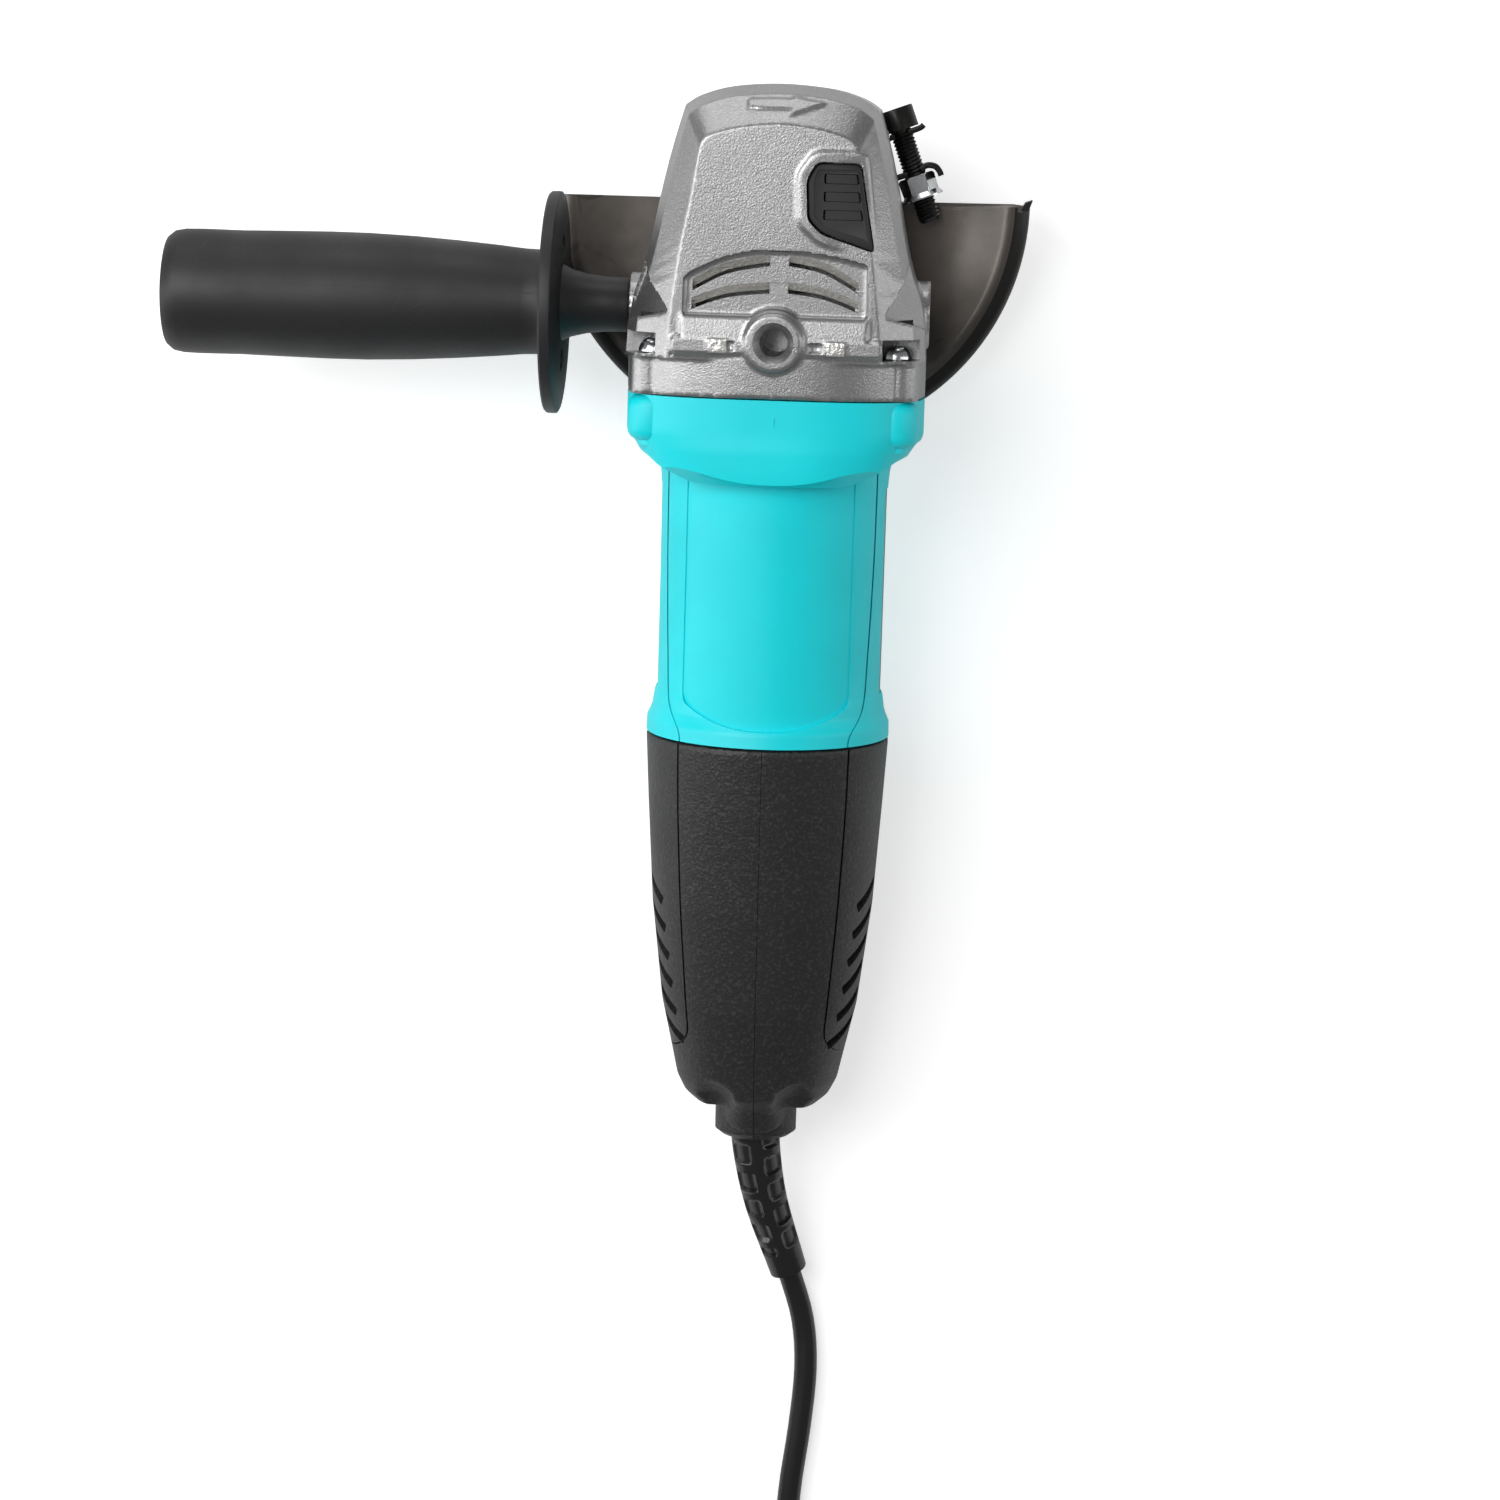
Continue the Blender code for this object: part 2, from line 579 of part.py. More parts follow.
def spindle_group():
    profile = [(0, 27.6), (3.3, 27.6), (SPINDLE_TOP_RADIUS, 27.0), (SPINDLE_TOP_RADIUS, HUB_TOP_Z + GAP)]
    shoulder = BEARING_TOP_Z - BEARING_WIDTH - GAP
    profile += [(SPINDLE_RADIUS, HUB_TOP_Z + GAP), (SPINDLE_RADIUS, shoulder)]
    profile += [(SHOULDER_RADIUS, shoulder), (SHOULDER_RADIUS, FLANGE_TOP_Z + GAP)]
    profile += [(THREAD_RADIUS, FLANGE_TOP_Z + GAP), (THREAD_RADIUS, SPINDLE_END + 1), (5.8, SPINDLE_END)]
    profile += [(0, SPINDLE_END)]
    part("spindle", lathe(profile), GROUND_STEEL)
    place = (BEARING_TOP_Z, BEARING_WIDTH)
    bearing_ring("spindle_bearing_outer", *place, BEARING_RADIUS, RACE_RADIUS + GAP, "Z")
    bearing_ring("spindle_bearing_inner", *place, RACE_RADIUS, SPINDLE_RADIUS + GAP, "Z", GROUND_STEEL)
    needle = [(SPINDLE_TOP_RADIUS + GAP, 18), (NEEDLE_RADIUS, 18), (NEEDLE_RADIUS, 28)]
    needle += [(SPINDLE_TOP_RADIUS + GAP, 28)]
    part("needle_bearing", lathe(needle, steps=20), STEEL)

    bore = THREAD_RADIUS + GAP
    pilot_end = DISC_SEAT_Z - 1.3
    flange = [(bore, FLANGE_TOP_Z), (12, FLANGE_TOP_Z), (INNER_FLANGE_RADIUS, FLANGE_TOP_Z - 2.2)]
    flange += [(INNER_FLANGE_RADIUS, DISC_SEAT_Z), (DISC_BORE_RADIUS, DISC_SEAT_Z)]
    flange += [(DISC_BORE_RADIUS, pilot_end), (bore, pilot_end)]
    part("inner_flange", lathe(flange, steps=24), STEEL)
    nut = [(bore, NUT_FACE_Z), (20, NUT_FACE_Z), (20, NUT_FACE_Z - 2.5), (12.4, NUT_FACE_Z - 3)]
    nut += [(12.4, NUT_FACE_Z - 5.6), (bore, NUT_FACE_Z - 5.6)]
    lock_nut = part("lock_nut", lathe(nut, steps=24), BLACK_STEEL)
    for k in range(4):
        turn = math.tau * (k + 0.5) / 4
        at = (16.2 * math.cos(turn), 16.2 * math.sin(turn))
        cut(lock_nut, rod(2.5, NUT_FACE_Z - 4, NUT_FACE_Z + 1, at=at, steps=8))


def bearing_box():
    top = HEAD_BASE - GAP
    low = top - PLATE_THICK
    half = HEAD_PLAN[:-1] + [(37.2, -29.0)]
    plate = loft([both_sides(half, low), both_sides(half, top)])
    carrier = part("bearing_box", plate, CAST)
    weld(carrier, rod(NECK_RADIUS, NECK_END, top - 1, steps=28))
    bearing_floor = BEARING_TOP_Z - BEARING_WIDTH - GAP
    cut(carrier, rod(BEARING_RADIUS + GAP, bearing_floor, top + 1, steps=24))
    cut(carrier, rod(14, SEAL_LOW - GAP, bearing_floor + 1, steps=24))
    cut(carrier, rod(11, NECK_END - 1, SEAL_LOW + 1, steps=24))
    for at in PLATE_SCREWS:
        head = [(0, low - 1), (4.4, low - 1), (4.4, low), (SCREW_SHANK + GAP, low + 2.3)]
        head += [(SCREW_SHANK + GAP, top + 1), (0, top + 1)]
        cut(carrier, moved(lathe(head, steps=12), (*at, 0)))

    profile = [(0, low + 0.2), (3.8, low + 0.2), (SCREW_SHANK, low + 2.2), (SCREW_SHANK, -7), (0, -7)]
    for number, at in enumerate(PLATE_SCREWS, 1):
        part(f"bearing_box_screw_{number}", moved(lathe(profile, steps=12), (*at, 0)), ZINC)
    seal = [(SHOULDER_RADIUS + GAP, SEAL_LOW), (13.7, SEAL_LOW)]
    seal += [(13.7, bearing_floor - GAP), (SHOULDER_RADIUS + GAP, bearing_floor - GAP)]
    part("dust_seal", lathe(seal), BLACK_RUBBER)


# ---- guard --------------------------------------------------------------------------------------

def clamp_place(radial, tangential):
    """A point given from the spindle axis towards the clamp screw, and along that screw."""
    turn = math.radians(CLAMP_ANGLE)
    x = radial * math.cos(turn) - tangential * math.sin(turn)
    return x, radial * math.sin(turn) + tangential * math.cos(turn)


def along_clamp(bm):
    """Carry a piece turned about X onto the clamp screw's axis, its +X towards the screw's head."""
    turned(bm, 90 + CLAMP_ANGLE, "Z")
    return moved(bm, (*clamp_place(CLAMP_RADIUS, 0), CLAMP_Z))


def guard_shell():
    radius, top, low, sheet = GUARD_RADIUS, GUARD_TOP_Z, GUARD_RIM_Z, GUARD_SHEET
    inner = NECK_RADIUS + GAP
    outside = [(inner, top)]
    inside = [(inner, top - sheet)]
    for k in range(4):
        turn = math.pi / 2 * (1 - k / 3)
        r, z = radius - GUARD_FOLD, top - GUARD_FOLD
        outside.append((r + GUARD_FOLD * math.cos(turn), z + GUARD_FOLD * math.sin(turn)))
        bend = GUARD_FOLD - sheet
        inside.append((r + bend * math.cos(turn), z + bend * math.sin(turn)))
    profile = outside + [(radius, low), (radius - sheet, low)] + inside[::-1]
    rings = []
    steps = 24
    for k in range(steps + 1):
        turn = math.pi + math.pi * k / steps
        rings.append([(r * math.cos(turn), r * math.sin(turn), z) for r, z in profile])
    part("guard_shell", loft(rings), BLACK_STEEL)


def clamp_band():
    middle = NECK_RADIUS + GAP + GUARD_SHEET / 2
    start, end = (math.degrees(math.asin(t / middle)) for t in (EAR_FRONT, EAR_REAR))
    front_tip, rear_tip = CLAMP_RADIUS + 6.2, CLAMP_RADIUS + 6.4
    path = [(front_tip, EAR_FRONT), (CLAMP_RADIUS - 4, EAR_FRONT)]
    steps = 28
    for k in range(steps + 1):
        turn = math.radians(start + (360 + end - start) * k / steps)
        path.append((middle * math.cos(turn), middle * math.sin(turn)))
    path += [(CLAMP_RADIUS - 4, EAR_REAR), (CLAMP_RADIUS + 1, EAR_REAR)]
    path += [(CLAMP_RADIUS + 3.6, EAR_REAR + 0.6), (CLAMP_RADIUS + 5.6, EAR_REAR - 0.3)]
    path.append((rear_tip, EAR_REAR - 3.1))
    low = GUARD_TOP_Z + GAP
    outline = strip(path, GUARD_SHEET)
    band = part("clamp_band", turned(prism(outline, low, low + BAND_HEIGHT), CLAMP_ANGLE, "Z"), BLACK_STEEL)
    cut(band, along_clamp(rod(CLAMP_SCREW_RADIUS + GAP, EAR_REAR - 0.9, EAR_FRONT + 3, "X")))

    head_low, head_high = EAR_FRONT + GUARD_SHEET / 2 + GAP, EAR_FRONT + GUARD_SHEET / 2 + GAP + 5.8
    profile = [(0, SCREW_TIP), (2.4, SCREW_TIP), (CLAMP_SCREW_RADIUS, SCREW_TIP + 0.8)]
    profile += [(CLAMP_SCREW_RADIUS, head_low), (5.0, head_low), (5.0, head_high - 0.4), (4.6, head_high)]
    profile += [(0, head_high)]
    screw = part("clamp_screw", along_clamp(lathe(profile, "X", 20)), BLACK_STEEL)
    floor = head_high - 3
    socket = lathe([(0, floor), (2.85, floor), (2.85, floor + 4), (0, floor + 4)], "X", 6)
    cut(screw, along_clamp(socket))

    face = EAR_REAR - GUARD_SHEET / 2 - GAP
    hexagon = [(0, face - 5), (4.9, face - 5), (4.9, face), (0, face)]
    nut = part("clamp_nut", along_clamp(lathe(hexagon, "X", 6)), ZINC)
    weld(nut, along_clamp(rod(5.6, face - 6.2, face - 4.8, "X", steps=20)))
    cut(nut, along_clamp(rod(CLAMP_SCREW_RADIUS + GAP, face - 8, face + 1, "X")))


# ---- side handle --------------------------------------------------------------------------------


def side_handle():
    profile = [(radius, GRIP_START - place) for place, radius in GRIP]
    profile = [(0, GRIP_START), *profile]
    grip = part("side_handle_grip", moved(lathe(profile, "X", 22), (0, HANDLE_Y, 0)), BLACK_PLASTIC)
    bore = rod(STUD_RADIUS + GAP, STUD_OUTSIDE - GAP, GRIP_START + 1, "X", (HANDLE_Y, 0))
    cut(grip, bore)
    stud = [(0, STUD_OUTSIDE), (STUD_RADIUS, STUD_OUTSIDE), (STUD_RADIUS, STUD_INSIDE - 0.8)]
    stud += [(3.2, STUD_INSIDE), (0, STUD_INSIDE)]
    part("side_handle_stud", moved(lathe(stud, "X", 16), (0, HANDLE_Y, 0)), ZINC)


# ---- motor --------------------------------------------------------------------------------------

def motor_housing():
    housing = part("motor_housing", loft([section(*s) for s in MOTOR_STATIONS]), CYAN)
    hollow = inset(MOTOR_STATIONS, BODY_WALL)
    hollow = [(hollow[0][0] + 1, *hollow[0][1:]), *hollow[1:-1], (hollow[-1][0] - 1, *hollow[-1][1:])]
    cut(housing, loft([section(*s) for s in hollow]))
    for at in HOUSING_SCREWS:
        weld(housing, rod(3.4, SHELL_START - 12.8, SHELL_START - 0.5, "Y", at, 10))
        cut(housing, rod(SCREW_SHANK + GAP, SHELL_START - 12.3, SHELL_START + 1, "Y", at, 8))
    seat = REAR_BEARING_RADIUS + GAP + BUSH_WALL + GAP
    web_front = TAIL_SEAM_Y + 2.5
    ring = [(seat, REAR_BEARING_Y - 7.4), (seat + 2.5, REAR_BEARING_Y - 7.4), (seat + 2.5, web_front)]
    weld(housing, lathe(ring + [(seat, web_front)], "Y"))
    for k in range(4):
        arm = box((seat + 1, TAIL_HALF - BODY_WALL + 1), (TAIL_SEAM_Y + 0.4, web_front - 0.2), (-3, 3))
        weld(housing, turned(arm, 45 + 90 * k, "Y"))
    reach = (STEM_REAR - 0.4, STEM_FRONT + SLIDER_TRAVEL + 0.4)
    cut(housing, box((-3.2, 3.2), reach, (-BARREL_RADIUS - 3, -BARREL_RADIUS + BODY_WALL + 2)))


def stator():
    radius = BARREL_RADIUS - BODY_WALL - 2 * GAP
    outline = []
    for k in range(32):
        turn = math.tau * (k + 0.5) / 32
        z = max(-STATOR_FLAT, min(STATOR_FLAT, radius * math.sin(turn)))
        outline.append((radius * math.cos(turn), z))
    core = part("stator_core", prism(outline, STATOR_REAR, STATOR_FRONT, "Y"), LAMINATION)
    cut(core, rod(STATOR_BORE, STATOR_REAR - 1, STATOR_FRONT + 1, "Y", steps=24))
    for side in (90, 270):
        window = sector(STATOR_BORE - 1, COIL_RADII[1] + 0.5, side - 36, side + 36, 6)
        cut(core, prism(window, STATOR_REAR - 1, STATOR_FRONT + 1, "Y"))
    for side, name in ((0, "right"), (180, "left")):
        part("field_coil_" + name, field_coil(side), COPPER)


def field_coil(side):
    """One field coil, wound round the pole that lies at this angle, as a bent closed band."""
    outer_turn, inner_turn, steps = 70.0, 57.0, 6
    ends = [(STATOR_FRONT + 5.8, STATOR_FRONT + 1.0, 1), (STATOR_REAR - 5.8, STATOR_REAR - 1.0, -1)]
    rings = []
    for outer_y, inner_y, direction in ends:
        for k in range(steps + 1):
            share = direction * (1 - 2 * k / steps)
            ring = []
            for turn, y, order in ((outer_turn, outer_y, 1), (inner_turn, inner_y, -1)):
                a = math.radians(side + turn * share)
                radii = COIL_RADII[::order]
                ring += [(r * math.cos(a), y, r * math.sin(a)) for r in radii]
            rings.append(ring)
    return loft(rings, closed=True)


def armature():
    rear = REAR_BEARING_Y - REAR_BEARING_WIDTH
    front = FRONT_BEARING_Y + GAP - 0.1
    profile = [(0, -11.6), (2.4, -11.6), (SHAFT_FRONT_RADIUS, -12.2), (SHAFT_FRONT_RADIUS, front)]
    profile += [(SHAFT_RADIUS, front), (SHAFT_RADIUS, REAR_BEARING_Y + GAP)]
    profile += [(SHAFT_REAR_RADIUS, REAR_BEARING_Y + GAP), (SHAFT_REAR_RADIUS, rear - 0.3), (0, rear - 0.3)]
    part("armature_shaft", lathe(profile, "Y"), GROUND_STEEL)

    bore = SHAFT_RADIUS + GAP
    slots, outline = 12, []
    for k in range(slots):
        for share, radius in ((-0.36, 1), (0.36, 1), (0.4, 0.86), (0.6, 0.86)):
            turn = math.tau * (k + share) / slots
            reach = ARMATURE_RADIUS * radius
            outline.append((reach * math.cos(turn), reach * math.sin(turn)))
    core = part("armature_core", prism(outline, STATOR_REAR + 1, STATOR_FRONT - 1, "Y"), LAMINATION)
    sleeve = bore + 0.9
    cut(core, rod(sleeve + GAP, STATOR_REAR - 1, STATOR_FRONT + 1, "Y"))

    # Both end bundles and the sleeve that joins them through the core
    front_face, rear_face = STATOR_FRONT - 1 + GAP, STATOR_REAR + 1 - GAP
    coils = [(bore, front_face + 5.5), (10.5, front_face + 5.5), (13.6, front_face + 3.8), (13.6, front_face)]
    coils += [(sleeve, front_face), (sleeve, rear_face), (13.6, rear_face), (13.6, rear_face - 5.3)]
    coils += [(10.5, rear_face - 7.5), (bore, rear_face - 7.5)]
    part("armature_windings", lathe(coils, "Y", 20), COPPER)
    front, rear = BRUSH_Y + 6.5, BRUSH_Y - 6.0
    ring = [(bore, rear), (COMMUTATOR_RADIUS, rear), (COMMUTATOR_RADIUS, front), (bore, front)]
    part("commutator", lathe(ring, "Y"), COPPER)

    nut = part("pinion_nut", lathe([(0, -15.6), (5, -15.6), (5, -12.5), (0, -12.5)], "Y", 6), STEEL)
    cut(nut, rod(SHAFT_FRONT_RADIUS + GAP, -17, -11, "Y"))


def cooling_fan():
    blades, hub, bore = 11, 8.5, SHAFT_RADIUS + GAP
    rear, back, front = -60.8, -52.0, -50.3
    turns = []
    for k in range(blades):
        for share, tall in ((-0.09, 0), (-0.03, 1), (0.03, 1), (0.09, 0)):
            turns.append((math.tau * (k + share * 2) / blades, tall))
    def ring(y, low, high):
        return [
            ((high if tall else low) * math.cos(a), y, (high if tall else low) * math.sin(a))
            for a, tall in turns
        ]
    rings = [ring(front, bore, bore), ring(front, FAN_RADIUS, FAN_RADIUS), ring(back, FAN_RADIUS, FAN_RADIUS)]
    rings += [ring(back, hub, FAN_RADIUS - 0.5), ring(rear, hub, FAN_RADIUS - 2), ring(rear, bore, bore)]
    part("cooling_fan", loft(rings, closed=True), GREY_PLASTIC)
    fit = BARREL_RADIUS - BODY_WALL - 2 * GAP
    baffle = [(fit, -66.4), (fit, -70.5), (23.4, -70.5), (23.4, -65.6)]
    baffle += [(18.5, -62.8), (18.5, -61.6), (24, -61.6)]
    part("air_baffle", lathe(baffle, "Y", 24), BLACK_PLASTIC)


def motor_bearings():
    front = (FRONT_BEARING_Y, FRONT_BEARING_WIDTH, FRONT_BEARING_RADIUS)
    bearing_ring("front_bearing", *front, SHAFT_RADIUS + GAP, "Y")
    rear = (REAR_BEARING_Y, REAR_BEARING_WIDTH, REAR_BEARING_RADIUS)
    bearing_ring("rear_bearing", *rear, SHAFT_REAR_RADIUS + GAP, "Y")
    low, high = REAR_BEARING_Y - REAR_BEARING_WIDTH - 0.6, REAR_BEARING_Y + GAP + 0.3
    inner = REAR_BEARING_RADIUS + GAP
    ring = [(inner, low), (inner + BUSH_WALL, low), (inner + BUSH_WALL, high), (inner, high)]
    part("rear_bearing_bush", lathe(ring, "Y"), BLACK_RUBBER)


def brush_set(side, name):
    """A carbon brush in its holder, pressed on the commutator by a coil spring."""
    def across(low, high, half_y, half_z):
        return box(sorted((side * low, side * high)), (BRUSH_Y - half_y, BRUSH_Y + half_y), (-half_z, half_z))

    start, end = COMMUTATOR_RADIUS + 2.2, BARREL_RADIUS - BODY_WALL - 1.1
    holder = part("brush_holder_" + name, across(start, end, 4.6, 5.6), BRASS)
    cut(holder, across(start - 1, end - 0.8, 2.5 + GAP, 4.0 + GAP))
    tip, back = COMMUTATOR_RADIUS + GAP, COMMUTATOR_RADIUS + 9.5
    part("carbon_brush_" + name, across(tip, back, 2.5, 4.0), CARBON)
    spring = coil_spring(1.9, 0.3, back + GAP, end - 0.8 - GAP, 4, "X")
    if side < 0:
        bmesh.ops.scale(spring, vec=(-1, 1, 1), verts=spring.verts)
    part("brush_spring_" + name, moved(spring, (0, BRUSH_Y, 0)), STEEL)


# ---- tail ---------------------------------------------------------------------------------------


def rear_cover(side, name):
    """One half of the tail's clamshell cover; side is -1 for the left half and 1 for the right."""
    cover = part("rear_cover_" + name, loft([section(*s) for s in TAIL_STATIONS]), BLACK_PLASTIC)
    boss = [(0, TAIL_END_Y + 5), (CORD_BOSS_RADIUS, TAIL_END_Y + 5), (CORD_BOSS_RADIUS, CORD_BOSS_END + 2)]
    boss += [(CORD_BOSS_RADIUS - 2, CORD_BOSS_END), (0, CORD_BOSS_END)]
    weld(cover, lathe(boss, "Y"))
    hollow = inset(TAIL_STATIONS[:-2], BODY_WALL)
    hollow = [(hollow[0][0] + 1, *hollow[0][1:]), *hollow[1:]]
    cut(cover, loft([section(*s) for s in hollow]))
    cut(cover, rod(BOOT_RADIUS + 0.4, CORD_BOSS_END - 1, TAIL_END_Y + 8, "Y", steps=24))
    cut(cover, rod(BOOT_FLANGE + GAP, *GROOVE_Y, "Y", steps=24))

    def across(low, high, y, z):
        return box(sorted((side * low, side * high)), y, z)

    for at, post_end, _ in COVER_SCREWS:
        ends = sorted((0, side * post_end))
        weld(cover, rod(COVER_BOSS, *ends, "X", at, 12))
    middle_y = (SWITCH_FRONT + SWITCH_REAR) / 2
    weld(cover, across(SWITCH_HALF + GAP, 27, (middle_y - 4, middle_y + 4), (SWITCH_LOW + 6, SWITCH_TOP - 4)))
    shelf_top = -CORD_RADIUS - GAP
    weld(cover, across(0, 20.5, CLAMP_Y, (shelf_top - SHELF_DEPTH, shelf_top)))
    if side > 0:
        at = (CLAMP_SCREW_X, sum(CLAMP_Y) / 2)
        cut(cover, rod(1.8, shelf_top - SHELF_DEPTH + 1, shelf_top + 1, at=at, steps=12))
    for at, _, seat in COVER_SCREWS:
        depth = 40 if side > 0 else 2 * GAP - COVER_SCREW_TIP
        cut(cover, rod(COVER_SHANK + GAP, *sorted((-side, side * depth)), "X", at, 8))
        if side > 0:
            cut(cover, rod(COVER_HEAD + 0.4, seat, 40, "X", at, 12))
    for k in range(VENTS):
        y = VENT_FIRST - VENT_PITCH * k
        slot = across(14, 40, (y - 1.4, y + 1.4), (4, 15))
        cut(cover, turned(slot, 28, "X", (0, y, 9.5)))
    reach = (CORD_BOSS_END - 5, TAIL_SEAM_Y + 5)
    cut(cover, across(-60, GAP / 2, reach, (-60, 60)))


def cover_screws():
    for number, ((y, z), _, seat) in enumerate(COVER_SCREWS, 1):
        face, top = seat + GAP, seat + 2.6
        profile = [(0, COVER_SCREW_TIP), (COVER_SHANK, COVER_SCREW_TIP), (COVER_SHANK, face)]
        profile += [(COVER_HEAD, face), (COVER_HEAD, top), (0, top)]
        part(f"rear_cover_screw_{number}", moved(lathe(profile, "X", 12), (0, y, z)), ZINC)


def switch_pieces():
    body = box((-SWITCH_HALF, SWITCH_HALF), (SWITCH_REAR, SWITCH_FRONT), (SWITCH_LOW, SWITCH_TOP))
    part("switch_body", body, BLACK_PLASTIC)
    barrel_low = -BARREL_RADIUS
    knob_top = barrel_low - 0.4
    rod_low = barrel_low + BODY_WALL + 0.5
    end = SWITCH_FRONT + GAP
    knob = box((-7.5, 7.5), (STEM_REAR - 5, STEM_FRONT + 3), (knob_top - 3, knob_top))
    slider = part("switch_slider", knob, BLACK_PLASTIC)
    weld(slider, box((-2.8, 2.8), (STEM_REAR, STEM_FRONT), (knob_top - 1, rod_low + 1)))
    weld(slider, box((-3.5, 3.5), (end, STEM_FRONT), (rod_low, rod_low + 1.4)))
    weld(slider, box((-3.5, 3.5), (end, end + 2.4), (rod_low, SWITCH_LOW + 6)))


def cord_clamp():
    low = CORD_RADIUS + GAP
    middle = sum(CLAMP_Y) / 2
    clamp = part("cord_clamp", box((-9.6, 9.6), CLAMP_Y, (low, low + 3)), BLACK_PLASTIC)
    weld(clamp, box((-9.6, -CORD_RADIUS - GAP), CLAMP_Y, (-CORD_RADIUS, low + 1)))
    at = (CLAMP_SCREW_X, middle)
    cut(clamp, rod(1.8, low - 1, low + 4, at=at, steps=12))
    tip = 1 + GAP - low - SHELF_DEPTH
    profile = [(0, tip), (1.5, tip), (1.5, low + 3 + GAP), (2.9, low + 3 + GAP)]
    profile += [(2.9, low + 5.2), (0, low + 5.2)]
    part("cord_clamp_screw", moved(lathe(profile, steps=12), (*at, 0)), ZINC)


# ---- cord ---------------------------------------------------------------------------------------


def smooth_route(points):
    """Close points on a smooth curve through the route's own points, and their distances along it."""
    fine = []
    for i in range(len(points) - 1):
        p0, p1, p2, p3 = (points[max(0, min(j, len(points) - 1))] for j in range(i - 1, i + 3))
        for k in range(24):
            t = k / 24
            bend = 2 * p0 - 5 * p1 + 4 * p2 - p3
            fine.append((2 * p1 + (p2 - p0) * t + bend * t**2 + (3 * p1 - p0 - 3 * p2 + p3) * t**3) / 2)
    fine.append(points[-1])
    lengths = [0.0]
    for a, b in zip(fine, fine[1:]):
        lengths.append(lengths[-1] + (b - a).length)
    return fine, lengths


def place_on(route, distance):
    """The point at a distance along a smooth route, and the route's direction there."""
    fine, lengths = route
    i = next((j for j in range(1, len(fine)) if lengths[j] >= distance), len(fine) - 1)
    share = (distance - lengths[i - 1]) / (lengths[i] - lengths[i - 1])
    return fine[i - 1].lerp(fine[i], share), (fine[i] - fine[i - 1]).normalized()


def ring_across(point, direction, radius, count):
    side = direction.cross(Vector((0, 0, 1))).normalized()
    rise = side.cross(direction).normalized()
    turns = [math.tau * k / count for k in range(count)]
    return [point + (side * math.cos(a) + rise * math.sin(a)) * radius for a in turns]


def cord_and_boot():
    points = [on_ground(p) for p in ROUTE_START] + [Vector(p) for p in ROUTE_GROUND]
    route = smooth_route(points)
    length = route[1][-1]
    count = round(length / (4 * CORD_RADIUS))
    curve = bpy.data.curves.new("cord_tube", "CURVE")
    curve.dimensions = "3D"
    curve.bevel_depth = CORD_RADIUS * MM
    curve.bevel_resolution = 2
    curve.use_fill_caps = True
    spline = curve.splines.new("POLY")
    spline.points.add(count)
    for n, place in enumerate(spline.points):
        point, direction = place_on(route, length * n / count)
        place.co = (*(point * MM), 1)
    cord = bpy.data.objects.new("cord_tube", curve)
    bpy.context.scene.collection.objects.link(cord)
    cord.parent = ground
    paint(cord, BLACK_RUBBER)

    start = ROUTE_START[0][1] - BOOT_START
    flange_front, flange_rear = (BOOT_START - y for y in (GROOVE_Y[1] - GAP, GROOVE_Y[0] + GAP))
    steps = [(0, BOOT_RADIUS), (flange_front, BOOT_RADIUS), (flange_front, BOOT_FLANGE)]
    steps += [(flange_rear, BOOT_FLANGE), (flange_rear, BOOT_RADIUS), (12, BOOT_RADIUS)]
    steps += [(20, 6.2), (28, 5.9), (36, 5.6), (44, 5.3), (BOOT_LENGTH, 5.0)]
    bore = CORD_RADIUS + 0.7
    steps += [(distance, bore) for distance in (BOOT_LENGTH, 44, 36, 28, 20, 12, 0)]
    rings = []
    for distance, radius in steps:
        point, direction = place_on(route, start + distance)
        rings.append(ring_across(point, direction, radius, 12))
    part("cord_boot", loft(rings, closed=True), BLACK_RUBBER, ground)


def coil_and_plug():
    bevel = 4.0
    ring = [(COIL_INNER, bevel), (COIL_INNER + bevel, 0), (COIL_OUTER - bevel, 0), (COIL_OUTER, bevel)]
    ring += [(COIL_OUTER, COIL_HEIGHT - bevel), (COIL_OUTER - bevel, COIL_HEIGHT)]
    ring += [(COIL_INNER + bevel, COIL_HEIGHT), (COIL_INNER, COIL_HEIGHT - bevel)]
    part("cord_coil", moved(lathe(ring, steps=24), (*COIL_CENTRE, 0)), BLACK_RUBBER, ground)

    middle = COIL_HEIGHT + GAP + PLUG_HALF_DEPTH
    # (distance from the cord's end, half width, half depth) of the plug's body
    shape = [(0, 4.6, 4.6), (12, 5.4, 5.2), (22, 9.0, 7.0), (30, 15.5, 8.6), (36, 17.6, 9.0), (46, 17.6, 9.0)]
    shape += [(48, 16.8, 8.2)]
    rings = []
    for distance, half_width, half_depth in shape:
        ring = []
        for k in range(16):
            turn = math.tau * k / 16
            y = PLUG_AXIS_Y + half_width * math.cos(turn)
            ring.append((PLUG_REAR_X - distance, y, middle + half_depth * math.sin(turn)))
        rings.append(ring)
    plug = part("mains_plug", loft(rings), BLACK_RUBBER, ground)
    face = PLUG_REAR_X - shape[-1][0]
    for side in (-1, 1):
        profile = [(0, face + 4), (2.0, face + 4), (2.0, face - 17.5), (1.4, face - 18.7), (0, face - 18.7)]
        weld(plug, moved(lathe(profile, "X", 12), (0, PLUG_AXIS_Y + side * 9.3, middle)))


# ---- build and place ----------------------------------------------------------------------------

gear_housing()
housing_screws()
lock_button()
crown_gear()
pinion_gear()
spindle_group()
bearing_box()
guard_shell()
clamp_band()
side_handle()
motor_housing()
stator()
armature()
cooling_fan()
motor_bearings()
for side, name in ((-1, "left"), (1, "right")):
    brush_set(side, name)
    rear_cover(side, name)
cover_screws()
switch_pieces()
cord_clamp()
cord_and_boot()
coil_and_plug()


